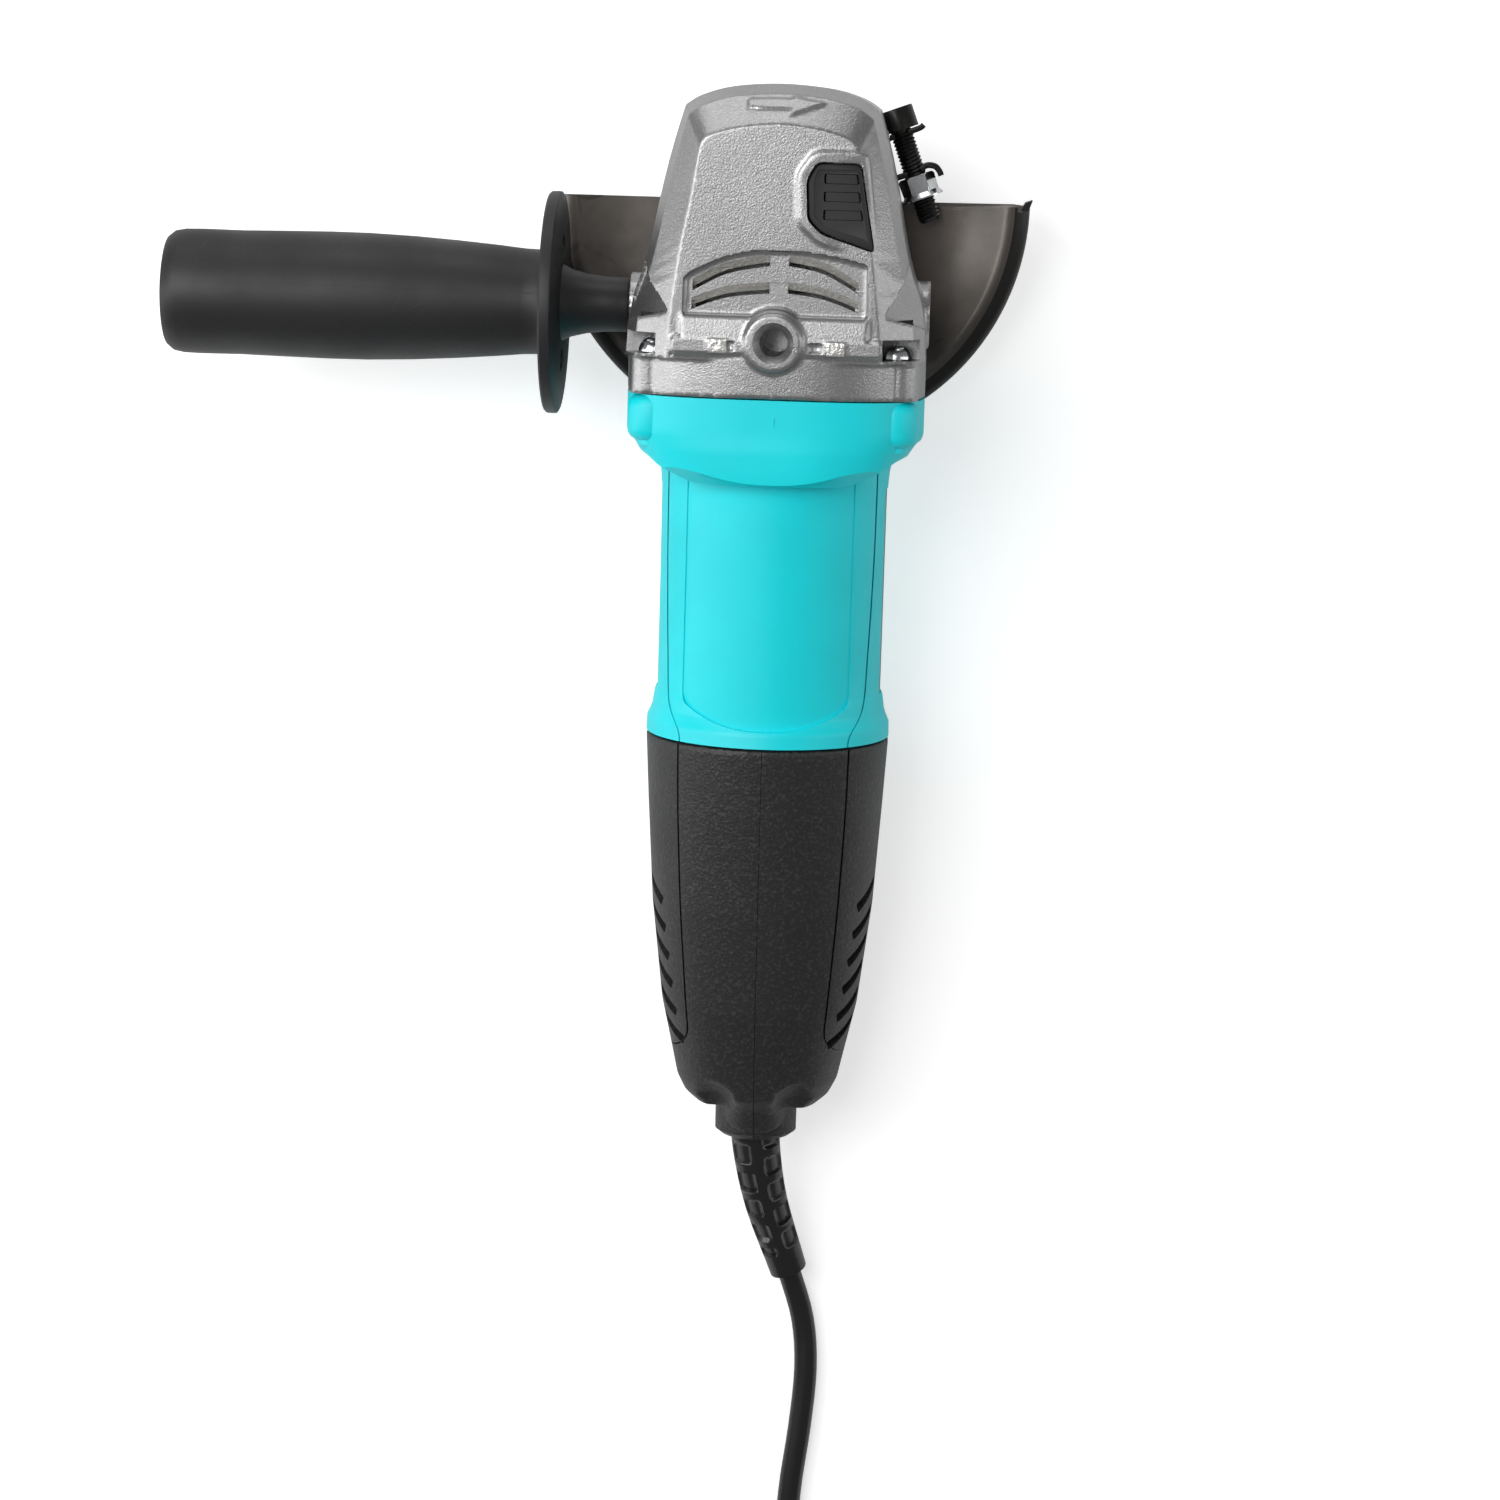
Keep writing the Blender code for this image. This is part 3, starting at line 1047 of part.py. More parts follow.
def centre_on_ground():
    """Move everything so that the tool's box, without its cord, is centred on the origin."""
    bpy.context.view_layer.update()
    depsgraph = bpy.context.evaluated_depsgraph_get()
    places = []
    for obj in bpy.context.scene.objects:
        if obj.type != "MESH" or obj.hide_render or obj.name in CORD_PIECES:
            continue
        shape = obj.evaluated_get(depsgraph)
        places += [obj.matrix_world @ vertex.co for vertex in shape.data.vertices]
    for axis in (0, 1):
        values = [place[axis] for place in places]
        ground.location[axis] = -(min(values) + max(values)) / 2
    ground.location.z = -min(place.z for place in places)


centre_on_ground()
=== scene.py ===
# %% [markdown]
# # Angle grinder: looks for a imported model
# A grinder is a cast gear head, a moulded motor housing, a moulded tail, a handle and a guard. The
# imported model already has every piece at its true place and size, so the looks are built around it.
# Pieces that are seen from outside are modelled again, finer; what lies inside keeps its own solid.

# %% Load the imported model
import json
import math

import bpy
from mathutils import Matrix, Vector


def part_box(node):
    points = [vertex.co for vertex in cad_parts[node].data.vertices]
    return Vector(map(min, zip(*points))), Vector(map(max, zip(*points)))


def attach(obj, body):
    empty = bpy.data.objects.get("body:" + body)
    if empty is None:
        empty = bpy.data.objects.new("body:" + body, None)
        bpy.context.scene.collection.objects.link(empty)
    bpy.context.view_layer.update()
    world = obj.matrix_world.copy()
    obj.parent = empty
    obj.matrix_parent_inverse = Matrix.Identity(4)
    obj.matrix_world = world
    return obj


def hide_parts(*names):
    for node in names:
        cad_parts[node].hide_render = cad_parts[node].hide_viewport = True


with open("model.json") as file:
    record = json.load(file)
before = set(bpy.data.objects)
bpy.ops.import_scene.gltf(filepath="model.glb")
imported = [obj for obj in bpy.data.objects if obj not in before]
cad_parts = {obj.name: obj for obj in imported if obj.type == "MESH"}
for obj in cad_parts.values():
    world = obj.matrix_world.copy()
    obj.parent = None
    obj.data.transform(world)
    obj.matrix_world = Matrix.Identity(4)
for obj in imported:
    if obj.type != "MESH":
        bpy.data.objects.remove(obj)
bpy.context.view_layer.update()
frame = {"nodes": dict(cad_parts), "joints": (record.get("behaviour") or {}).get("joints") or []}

# %% [markdown]
# ## The tool's own directions
# The grinder lies tilted, on its guard's rim and on its tail. It is far easier to model upright, in
# millimetres, and to tilt each finished piece. The motor turns about the tool's length and the spindle
# about its height, so those two joints give the tool's directions and the point where its axes cross.

# %% The tool's frame
MM = 0.001
joints = {joint["name"]: joint for joint in frame["joints"]}
length_way = Vector(joints["armature_spin"]["axis"]).normalized()
height_way = Vector(joints["spindle_spin"]["axis"]).normalized()
side_way = length_way.cross(height_way)
TOOL = Matrix((side_way, length_way, height_way)).transposed().to_4x4()
TOOL.translation = Vector(joints["armature_spin"]["pos_m"])
tilt = math.degrees(math.asin(length_way.z))
print(f"the tool is tilted by {tilt:.2f} degrees, its axes cross at {TOOL.translation * 1000}")


def on_ground(x, y, z):
    """A place in the tool's frame, in millimetres, as a place in the row's frame, in metres."""
    return TOOL @ (Vector((x, y, z)) * MM)


# %% [markdown]
# ## A small bench of modelling helpers
# Every solid below starts as a primitive. A turned part is an outline spun round an axis, a plate is an
# outline extruded, and a body with a changing section is a grid that is wrapped over its sections.
# Cuts and joins are Boolean modifiers, and a bevel breaks the edges that a moulder or a caster rounds.

# %% Helpers: selecting, spinning, extruding, wrapping
def only(piece):
    """Make this the one selected and active object."""
    if bpy.context.mode != "OBJECT":
        bpy.ops.object.mode_set(mode="OBJECT")
    bpy.ops.object.select_all(action="DESELECT")
    piece.select_set(True)
    bpy.context.view_layer.objects.active = piece
    return piece


def along(axis, u, v, w):
    """A point w along the named axis, with u and v across it."""
    return {"X": (w, u, v), "Y": (u, w, v), "Z": (u, v, w)}[axis]


def in_edit_mode(piece, *steps):
    """Run operators, given as (operator, settings), on the whole of a piece."""
    only(piece)
    bpy.ops.object.mode_set(mode="EDIT")
    bpy.ops.mesh.select_all(action="SELECT")
    for operator, settings in steps:
        operator(**settings)
    bpy.ops.object.mode_set(mode="OBJECT")
    return piece


def outline_loop(name, points, fill):
    """A circle primitive whose vertices are laid on an outline."""
    bpy.ops.mesh.primitive_circle_add(vertices=len(points), radius=1, fill_type=fill)
    piece = bpy.context.object
    piece.name = name
    for vertex, point in zip(piece.data.vertices, points):
        vertex.co = point
    return piece


def turned(name, profile, axis="Z", at=(0, 0), steps=64):
    """Spin a closed outline of (radius, place) pairs round an axis."""
    piece = outline_loop(name, [along(axis, r, 0, w) for r, w in profile], "NOTHING")
    spin = {"steps": steps, "angle": math.tau, "center": (0, 0, 0), "axis": along(axis, 0, 0, 1)}
    in_edit_mode(
        piece,
        (bpy.ops.mesh.spin, spin),
        (bpy.ops.mesh.select_all, {"action": "SELECT"}),
        (bpy.ops.mesh.remove_doubles, {"threshold": 1e-4}),
        (bpy.ops.mesh.delete_loose, {}),
        (bpy.ops.mesh.select_all, {"action": "SELECT"}),
        (bpy.ops.mesh.normals_make_consistent, {"inside": False}),
        (bpy.ops.transform.translate, {"value": along(axis, at[0], at[1], 0)}),
    )
    return piece


def plate(name, outline, low, high, axis="Z"):
    """Extrude an outline of (u, v) pairs between two places on an axis."""
    piece = outline_loop(name, [along(axis, u, v, low) for u, v in outline], "NGON")
    push = {"TRANSFORM_OT_translate": {"value": along(axis, 0, 0, high - low)}}
    in_edit_mode(
        piece,
        (bpy.ops.mesh.extrude_region_move, push),
        (bpy.ops.mesh.select_all, {"action": "SELECT"}),
        (bpy.ops.mesh.normals_make_consistent, {"inside": False}),
    )
    return piece


def block(name, x, y, z):
    """A box from its (low, high) pairs."""
    return plate(name, [(x[0], y[0]), (x[1], y[0]), (x[1], y[1]), (x[0], y[1])], *z)


def pin(name, radius, low, high, axis="Z", at=(0, 0), steps=32):
    return turned(name, [(0, low), (radius, low), (radius, high), (0, high)], axis, at, steps)


def circle(count, radius=1.0):
    """Points (u, v) evenly round a circle."""
    turns = [math.tau * k / count for k in range(count)]
    return [(radius * math.cos(a), radius * math.sin(a)) for a in turns]


def wrapped(name, rings, closed=False):
    """Wrap a grid over rings of points, merge its seam, and fill its two ends."""
    rings = rings + rings[:1] if closed else rings
    around, rows = len(rings[0]), len(rings)
    bpy.ops.mesh.primitive_grid_add(x_subdivisions=around, y_subdivisions=rows - 1)
    piece = bpy.context.object
    piece.name = name
    columns = len(piece.data.vertices) // rows
    for i, vertex in enumerate(piece.data.vertices):
        row, column = divmod(i, columns)
        vertex.co = rings[row][column % around]
    return in_edit_mode(
        piece,
        (bpy.ops.mesh.remove_doubles, {"threshold": 1e-4}),
        (bpy.ops.mesh.fill_holes, {"sides": 0}),
        (bpy.ops.mesh.select_all, {"action": "SELECT"}),
        (bpy.ops.mesh.normals_make_consistent, {"inside": False}),
    )


# %% Helpers: modifiers, joining, placing
def apply_modifier(piece, kind, **settings):
    only(piece)
    change = piece.modifiers.new(kind.lower(), kind)
    for setting, value in settings.items():
        setattr(change, setting, value)
    bpy.ops.object.modifier_apply(modifier=change.name)
    return piece


def combine(piece, others, operation):
    for other in others:
        apply_modifier(piece, "BOOLEAN", object=other, operation=operation, solver="MANIFOLD")
        bpy.data.objects.remove(other)
    return piece


def carve(piece, *cutters):
    return combine(piece, cutters, "DIFFERENCE")


def weld(piece, *others):
    return combine(piece, others, "UNION")


def crossed(screw, half_long, half_thick, low, high, axis="Z"):
    """Cut a cross recess into a screw's head, between two places on its axis."""
    for u, v in ((half_thick, half_long), (half_long, half_thick)):
        spans = {"Z": ((-u, u), (-v, v), (low, high)), "Y": ((-u, u), (low, high), (-v, v))}[axis]
        carve(screw, block("cross", *spans))
    return screw


def soften(piece, width, segments=3, angle=30):
    """Bevel the edges that are sharper than the angle."""
    limits = {"limit_method": "ANGLE", "angle_limit": math.radians(angle)}
    return apply_modifier(piece, "BEVEL", width=width, segments=segments, **limits)


def recast(piece, size, passes=2):
    """Remesh a solid into small even faces and relax them, which rounds every edge as casting does."""
    apply_modifier(piece, "REMESH", mode="VOXEL", voxel_size=size)
    return apply_modifier(piece, "SMOOTH", factor=0.5, iterations=passes)


def turn(piece, degrees, axis, centre=(0, 0, 0)):
    matrix = Matrix.Translation(centre) @ Matrix.Rotation(math.radians(degrees), 4, axis)
    piece.data.transform(matrix @ Matrix.Translation(-Vector(centre)))
    return piece


def moved(piece, x=0, y=0, z=0, turned_by=None):
    """Shift a piece, after a turn given as a matrix."""
    piece.data.transform(Matrix.Translation((x, y, z)) @ (turned_by or Matrix()))
    return piece


def finished(piece, body, material, nodes=(), smooth=35, placed=True):
    """Place a piece in the row's frame, shade it, paint it and let it ride with its body."""
    if placed:
        piece.data.transform(TOOL @ Matrix.Scale(MM, 4))
    only(piece)
    bpy.ops.object.shade_smooth_by_angle(angle=math.radians(smooth))
    if material not in piece.data.materials[:]:
        piece.data.materials.clear()
        piece.data.materials.append(material)
    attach(piece, body)
    if nodes:
        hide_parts(*nodes)
    print(f"{piece.name}: {len(piece.data.polygons)} faces")
    return piece


# %% [markdown]
# ## Camera, floor and lamps
# The tool is seen straight from above. The floor is white to the camera and pale to the lamps. A large
# soft lamp hangs over the tool and another one stands beyond its head. A long narrow lamp on each side
# draws the bright edge lines that show the shape of black plastic.

# %% Camera
CAMERA_HEIGHT, LENS, SENSOR, ROLL = 1.0, 93.4, 36.0, 1.7
# the view's middle lies this far left of and below the crossing of the tool's axes, in metres
ASIDE, ABOVE = 0.0086081, 0.1402998
roll = math.radians(ROLL)
bpy.ops.object.camera_add()
camera = bpy.context.object
camera.data.lens = LENS
camera.data.sensor_width = SENSOR
camera.rotation_euler = (0, 0, roll)
picture_right = Vector((math.cos(roll), math.sin(roll), 0))
picture_up = Vector((-math.sin(roll), math.cos(roll), 0))
camera.location = TOOL.translation - picture_right * ASIDE - picture_up * ABOVE
camera.location.z += CAMERA_HEIGHT
bpy.context.scene.camera = camera
bpy.context.scene.view_settings.view_transform = "Standard"
print("the camera stands at", camera.location)

# %% Floor and lamps
bpy.ops.mesh.primitive_plane_add(size=6, location=(0, 0, 0))
floor = bpy.context.object
floor.name = "floor"
floor_paint = bpy.data.materials.new("pale_floor")
floor_paint.use_nodes = True
tree = floor_paint.node_tree
tree.nodes.clear()
output = tree.nodes.new("ShaderNodeOutputMaterial")
white, pale = tree.nodes.new("ShaderNodeEmission"), tree.nodes.new("ShaderNodeBsdfDiffuse")
white.inputs["Strength"].default_value = 0.55
pale.inputs["Color"].default_value = (0.86, 0.86, 0.86, 1)
both, which = tree.nodes.new("ShaderNodeAddShader"), tree.nodes.new("ShaderNodeMixShader")
path = tree.nodes.new("ShaderNodeLightPath")
tree.links.new(white.outputs[0], both.inputs[0])
tree.links.new(pale.outputs[0], both.inputs[1])
tree.links.new(path.outputs["Is Camera Ray"], which.inputs[0])
tree.links.new(pale.outputs[0], which.inputs[1])
tree.links.new(both.outputs[0], which.inputs[2])
tree.links.new(which.outputs[0], output.inputs[0])
floor.data.materials.append(floor_paint)

world = bpy.data.worlds.new("studio")
bpy.context.scene.world = world
world.use_nodes = True
world.node_tree.nodes["Background"].inputs["Color"].default_value = (1, 1, 1, 1)
world.node_tree.nodes["Background"].inputs["Strength"].default_value = 0.22


def lamp(name, place, size, power, target=(0, 0, 0.04)):
    bpy.ops.object.light_add(type="AREA", location=place)
    light = bpy.context.object
    light.name = name
    light.data.shape = "RECTANGLE"
    light.data.size, light.data.size_y = size
    light.data.energy = power
    light.rotation_euler = (Vector(target) - Vector(place)).to_track_quat("-Z", "Y").to_euler()


# name, place, size and power in watts
for kind in (
    ("top_light", (-0.45, 0.25, 1.0), (0.5, 0.9), 6.5),
    ("left_strip", (-0.8, 0.0, 0.35), (0.25, 1.2), 3.2),
    ("right_strip", (0.8, 0.1, 0.4), (0.2, 1.2), 1.4),
    ("head_light", (-0.1, 0.9, 0.35), (0.8, 0.25), 1.6),
):
    lamp(*kind)

# %% [markdown]
# ## Finishes that several materials share
# Real surfaces differ from flat colour in a few ways that repeat: a fine grain from the mould or the
# casting, slow changes in tone, and fine scratches. Each is a node group with its own inputs, built
# once, and each material places it with its own sizes.

# %% Node group helpers
def new_group(name, inputs, outputs):
    group = bpy.data.node_groups.new(name, "ShaderNodeTree")
    for label, kind, value in inputs:
        socket = group.interface.new_socket(label, in_out="INPUT", socket_type=kind)
        if value is not None:
            socket.default_value = value
    for label, kind in outputs:
        group.interface.new_socket(label, in_out="OUTPUT", socket_type=kind)
    return group, group.nodes.new("NodeGroupInput"), group.nodes.new("NodeGroupOutput")


def add_node(tree, kind, inputs=None, **settings):
    """Add a node; its inputs are values or other nodes' sockets."""
    node = tree.nodes.new("ShaderNode" + kind)
    for setting, value in settings.items():
        setattr(node, setting, value)
    for label, value in (inputs or {}).items():
        if isinstance(value, bpy.types.NodeSocket):
            tree.links.new(value, node.inputs[label])
        else:
            node.inputs[label].default_value = value
    return node


VALUE, VECTOR = "NodeSocketFloat", "NodeSocketVector"

# %% Grain: small bumps, and darker pits between them
grain, start, end = new_group(
    "grain",
    [("Vector", VECTOR, None), ("Per metre", VALUE, 2000.0), ("Coarse share", VALUE, 0.3)],
    [("Height", VALUE), ("Speck", VALUE)],
)
fine = add_node(grain, "TexNoise", {"Vector": start.outputs["Vector"], "Detail": 2.0, "Roughness": 0.6})
grain.links.new(start.outputs["Per metre"], fine.inputs["Scale"])
third = add_node(grain, "Math", {0: start.outputs["Per metre"], 1: 0.3}, operation="MULTIPLY")
coarse = add_node(grain, "TexNoise", {"Vector": start.outputs["Vector"], "Scale": third.outputs[0]})
blend = add_node(grain, "Mix", {"Factor": start.outputs["Coarse share"], "A": fine.outputs["Fac"]})
grain.links.new(coarse.outputs["Fac"], blend.inputs["B"])
grain.links.new(blend.outputs["Result"], end.inputs["Height"])
speck = add_node(grain, "MapRange", {"Value": fine.outputs["Fac"], "From Min": 0.52, "From Max": 0.68})
grain.links.new(speck.outputs["Result"], end.inputs["Speck"])

# %% Tone: slow changes of lightness from handling and moulding
tone, start, end = new_group(
    "tone",
    [
        ("Vector", VECTOR, None),
        ("Per metre", VALUE, 40.0),
        ("Darkest", VALUE, 0.8),
        ("Lightest", VALUE, 1.15),
    ],
    [("Factor", VALUE)],
)
cloud = add_node(tone, "TexNoise", {"Vector": start.outputs["Vector"], "Detail": 4.0})
tone.links.new(start.outputs["Per metre"], cloud.inputs["Scale"])
spread = add_node(tone, "MapRange", {"Value": cloud.outputs["Fac"], "From Min": 0.3, "From Max": 0.7})
tone.links.new(start.outputs["Darkest"], spread.inputs["To Min"])
tone.links.new(start.outputs["Lightest"], spread.inputs["To Max"])
tone.links.new(spread.outputs["Result"], end.inputs["Factor"])

# %% Scratches: thin wandering lines, most of them faint
scratches, start, end = new_group(
    "scratches",
    [("Vector", VECTOR, None), ("Per metre", VALUE, 60.0), ("Width", VALUE, 0.02)],
    [("Mask", VALUE)],
)
bent = add_node(scratches, "TexNoise", {"Vector": start.outputs["Vector"], "Scale": 25.0})
shift = add_node(scratches, "VectorMath", {0: bent.outputs["Color"]}, operation="SCALE")
shift.inputs["Scale"].default_value = 0.02
place = add_node(scratches, "VectorMath", {0: start.outputs["Vector"], 1: shift.outputs[0]}, operation="ADD")
cells = add_node(scratches, "TexVoronoi", {"Vector": place.outputs[0]}, feature="DISTANCE_TO_EDGE")
scratches.links.new(start.outputs["Per metre"], cells.inputs["Scale"])
line = add_node(scratches, "MapRange", {"Value": cells.outputs["Distance"], "To Min": 1.0, "To Max": 0.0})
scratches.links.new(start.outputs["Width"], line.inputs["From Max"])
patch = add_node(scratches, "TexNoise", {"Vector": start.outputs["Vector"], "Scale": 70.0})
some = add_node(scratches, "MapRange", {"Value": patch.outputs["Fac"], "From Min": 0.5, "From Max": 0.62})
both_masks = {0: line.outputs["Result"], 1: some.outputs["Result"]}
mask = add_node(scratches, "Math", both_masks, operation="MULTIPLY")
scratches.links.new(mask.outputs[0], end.inputs["Mask"])
print("node groups:", [group.name for group in bpy.data.node_groups])

# %% [markdown]
# ## The materials
# One function mixes the shared finishes into a Principled shader: the base colour is lightened and
# darkened by the tone, specks and scratches take their own colour, and the grain becomes a bump. Each
# material is then one line of sizes. The pattern's coordinates are the object's own, in metres.

# %% A finish
def finish(name, colour, roughness, metallic=0.0, grain_size=0.5, bump=0.15, **more):
    """A material from its colour and its grain's size in millimetres.

    more: speck colour and amount, scratch colour and amount, tones, coat, stretch of the grain.
    """
    material = bpy.data.materials.new(name)
    material.use_nodes = True
    tree = material.node_tree
    shader = tree.nodes["Principled BSDF"]
    place = tree.nodes.new("ShaderNodeTexCoord").outputs["Object"]
    if "stretch" in more:
        tilted = (math.asin(length_way.z), 0, 0)
        flat = {"Vector": place, "Rotation": tilted, "Scale": more["stretch"]}
        place = add_node(tree, "Mapping", flat, vector_type="TEXTURE").outputs[0]

    def group(shared, **inputs):
        node = tree.nodes.new("ShaderNodeGroup")
        node.node_tree = shared
        tree.links.new(place, node.inputs["Vector"])
        for label, value in inputs.items():
            node.inputs[label.replace("_", " ")].default_value = value
        return node

    def mixed(first, second, factor, blend_type="MIX"):
        node = add_node(tree, "Mix", {"Factor": factor}, data_type="RGBA", blend_type=blend_type)
        for label, value in (("A", first), ("B", second)):
            socket = next(s for s in node.inputs if s.name == label and s.type == "RGBA")
            if isinstance(value, bpy.types.NodeSocket):
                tree.links.new(value, socket)
            else:
                socket.default_value = (*value, 1)
        return next(s for s in node.outputs if s.type == "RGBA")

    grains = group(grain, Per_metre=1000 / grain_size, Coarse_share=more.get("coarse", 0.3))
    darkest, lightest = more.get("tones", (0.85, 1.12))
    tones = group(tone, Per_metre=more.get("tone_scale", 45.0), Darkest=darkest, Lightest=lightest)
    channels = {label: tones.outputs["Factor"] for label in ("Red", "Green", "Blue")}
    grey = add_node(tree, "CombineColor", channels)
    surface = mixed(colour, grey.outputs[0], 1.0, "MULTIPLY")
    rough = add_node(tree, "MapRange", {"Value": tones.outputs["Factor"], "From Min": 0.8, "From Max": 1.2})
    rough.inputs["To Min"].default_value = roughness * 1.12
    rough.inputs["To Max"].default_value = roughness * 0.88
    if "speck" in more:
        speck_colour, amount = more["speck"]
        share = add_node(tree, "Math", {0: grains.outputs["Speck"], 1: amount}, operation="MULTIPLY")
        surface = mixed(surface, speck_colour, share.outputs[0])
    if "scratch" in more:
        scratch_colour, amount, per_metre = more["scratch"]
        marks = group(scratches, Per_metre=per_metre, Width=more.get("scratch_width", 0.02))
        share = add_node(tree, "Math", {0: marks.outputs["Mask"], 1: amount}, operation="MULTIPLY")
        surface = mixed(surface, scratch_colour, share.outputs[0])
    tree.links.new(surface, shader.inputs["Base Color"])
    tree.links.new(rough.outputs["Result"], shader.inputs["Roughness"])
    shader.inputs["Metallic"].default_value = metallic
    shader.inputs["Coat Weight"].default_value = more.get("coat", 0.0)
    shader.inputs["Coat Roughness"].default_value = 0.15
    relief = add_node(tree, "Bump", {"Height": grains.outputs["Height"], "Strength": bump})
    relief.inputs["Distance"].default_value = grain_size * MM * 0.5
    tree.links.new(relief.outputs[0], shader.inputs["Normal"])
    return material


# %% The materials
WHITE_METAL = (0.80, 0.79, 0.77)
cast_metal = finish("cast_aluminium", (0.36, 0.36, 0.365), 0.34, 0.9, 0.5, 0.45,
                    tones=(0.93, 1.06), speck=((0.62, 0.61, 0.58), 0.4))
bright_cast = finish("broken_casting", (0.66, 0.65, 0.62), 0.36, 0.7, 1.1, 1.0, speck=(WHITE_METAL, 0.9))
cyan = finish("cyan_plastic", (0.0, 0.78, 0.86), 0.42, 0.0, 0.35, 0.05, tones=(0.96, 1.04))
black = finish("black_plastic", (0.017, 0.017, 0.018), 0.42, 0.0, 0.85, 0.7, speck=((0.09, 0.09, 0.09), 0.35))
handle_black = finish("handle_plastic", (0.014, 0.014, 0.015), 0.5, 0.0, 0.45, 0.2, tones=(0.8, 1.2),
                      scratch=((0.06, 0.06, 0.06), 0.2, 90.0), scratch_width=0.008)
button_grey = finish("button_plastic", (0.03, 0.03, 0.032), 0.55, 0.0, 0.35, 0.3)
cord_black = finish("cord_pvc", (0.008, 0.008, 0.009), 0.24, 0.0, 0.6, 0.06, tones=(0.9, 1.15), coat=0.2)
# the guard is glossy black steel; this brown-grey copy of it is a painted reflection, the light its upward
# faces reflect, with real scratches on it
painted_sheen_guard = finish("painted_sheen_guard", (0.10, 0.088, 0.078), 0.36, 0.7, 0.5, 0.12, tones=(0.35, 1.5),
                     tone_scale=28.0, scratch=((0.012, 0.01, 0.01), 0.9, 22.0), scratch_width=0.012, coat=0.3)
black_steel = finish("black_steel", (0.018, 0.017, 0.016), 0.36, 0.6, 0.4, 0.12, tones=(0.6, 1.5), coat=0.1)
zinc = finish("zinc_plate", (0.70, 0.72, 0.73), 0.2, 1.0, 0.5, 0.06, tones=(0.75, 1.1), tone_scale=180.0)
steel = finish("ground_steel", (0.52, 0.52, 0.53), 0.26, 1.0, 0.4, 0.06, tones=(0.85, 1.1))
copper = finish("copper", (0.62, 0.22, 0.09), 0.3, 1.0, 0.35, 0.3)
sheet_stack = finish("lamination", (0.20, 0.20, 0.21), 0.45, 0.9, 0.6, 0.4, stretch=(1.0, 0.05, 1.0))
brass = finish("brass", (0.66, 0.47, 0.17), 0.3, 1.0, 0.4, 0.08)
graphite = finish("graphite", (0.03, 0.03, 0.033), 0.5, 0.2, 0.3, 0.2)
rubber = finish("black_rubber", (0.02, 0.02, 0.02), 0.6, 0.0, 0.6, 0.2)
fan_grey = finish("fan_plastic", (0.16, 0.16, 0.165), 0.5, 0.0, 0.4, 0.1)
label_grey = finish("label_foil", (0.20, 0.21, 0.22), 0.38, 0.3, 0.3, 0.06)
print(len(bpy.data.materials), "materials")

# %% [markdown]
# ## The mains cord
# A grinder of this size has about two metres of round 6 mm cord. It leaves the tail straight, droops to
# the ground, wanders a little, and the rest is wound into a flat coil, three cords wide and three deep.
# Each turn keeps its own track and changes track in a short sector, as a cord wound by hand on a former
# does, so that no turn passes through another. The line is one curve with a round bevel.

# %% The cord's route
CORD_RADIUS = 3.1
inside = [(0, -214, 0), (0, -226, 0), (0, -240, 0), (0.4, -250, -0.2), (3.4, -266, -3.0)]
lying = [(10.2, -281.0, 6.0), (14.4, -294.5, 3.4), (15.6, -308.0, 3.2), (14.4, -324.0, 3.2)]
lying += [(12.2, -342.0, 3.2), (11.6, -362.0, 3.2), (12.6, -389.5, 3.4)]
below_tool = Vector((TOOL.translation.x, TOOL.translation.y, 0))
route = [on_ground(*point) for point in inside] + [below_tool + Vector(point) * MM for point in lying]

COIL_CENTRE = Vector((-30.0, -414.0, 0))
TRACK = 6.35  # from one cord's middle to the next
LOW_TRACK = CORD_RADIUS + 1.0  # the tie passes below the coil
radii = [43.2 - TRACK * k for k in range(3)]
levels = [LOW_TRACK + TRACK * k for k in range(3)]
# (radius, height) of each turn's track: in, up, out, up, and in again
tracks = [(r, levels[0]) for r in radii] + [(r, levels[1]) for r in radii[::-1]]
tracks += [(radii[0], levels[2]), (radii[0] - TRACK, levels[2])]
# the degrees of a turn at which the cord starts to change track, one for each change
changes = [235, 235, 185, 135, 135, 85, 35]
CHANGE, START_ANGLE, STEP = 45, 5, 15


def coil_place(turned_by):
    """Where the coil is after this many degrees."""
    here = Vector(tracks[0])
    for k, (near, far) in enumerate(zip(tracks, tracks[1:])):
        share = min(max((turned_by - 360 * k - changes[k]) / CHANGE, 0), 1)
        here += (Vector(far) - Vector(near)) * share * share * (3 - 2 * share)
    angle = math.radians(START_ANGLE - turned_by)
    return COIL_CENTRE + Vector((here.x * math.cos(angle), here.x * math.sin(angle), here.y))


COIL_DEGREES = 360 * 6 + 330
route += [below_tool + coil_place(STEP * k) * MM for k in range(COIL_DEGREES // STEP + 1)]
# off the coil and up into the plug's sleeve, which lies across the coil's near side
lead = [(10.5, -414.0, 21.5), (9.0, -430.0, 26.5), (1.5, -442.5, 29.6)]
lead += [(-8.0, -446.8, 29.9), (-16.0, -448.0, 29.9)]
route += [below_tool + Vector(point) * MM for point in lead]


def smooth_line(points, parts):
    """A Catmull-Rom curve through the points, and each point's distance along it."""
    fine = []
    for i in range(len(points) - 1):
        p0, p1, p2, p3 = (points[max(0, min(j, len(points) - 1))] for j in range(i - 1, i + 3))
        for t in (k / parts for k in range(parts)):
            bend = 2 * p0 - 5 * p1 + 4 * p2 - p3
            fine.append((2 * p1 + (p2 - p0) * t + bend * t**2 + (3 * p1 - p0 - 3 * p2 + p3) * t**3) / 2)
    fine.append(points[-1])
    distances = [0.0]
    for near, far in zip(fine, fine[1:]):
        distances.append(distances[-1] + (far - near).length)
    return fine, distances


line, distances = smooth_line(route, 4)
print(f"the cord is {distances[-1]:.3f} m long")

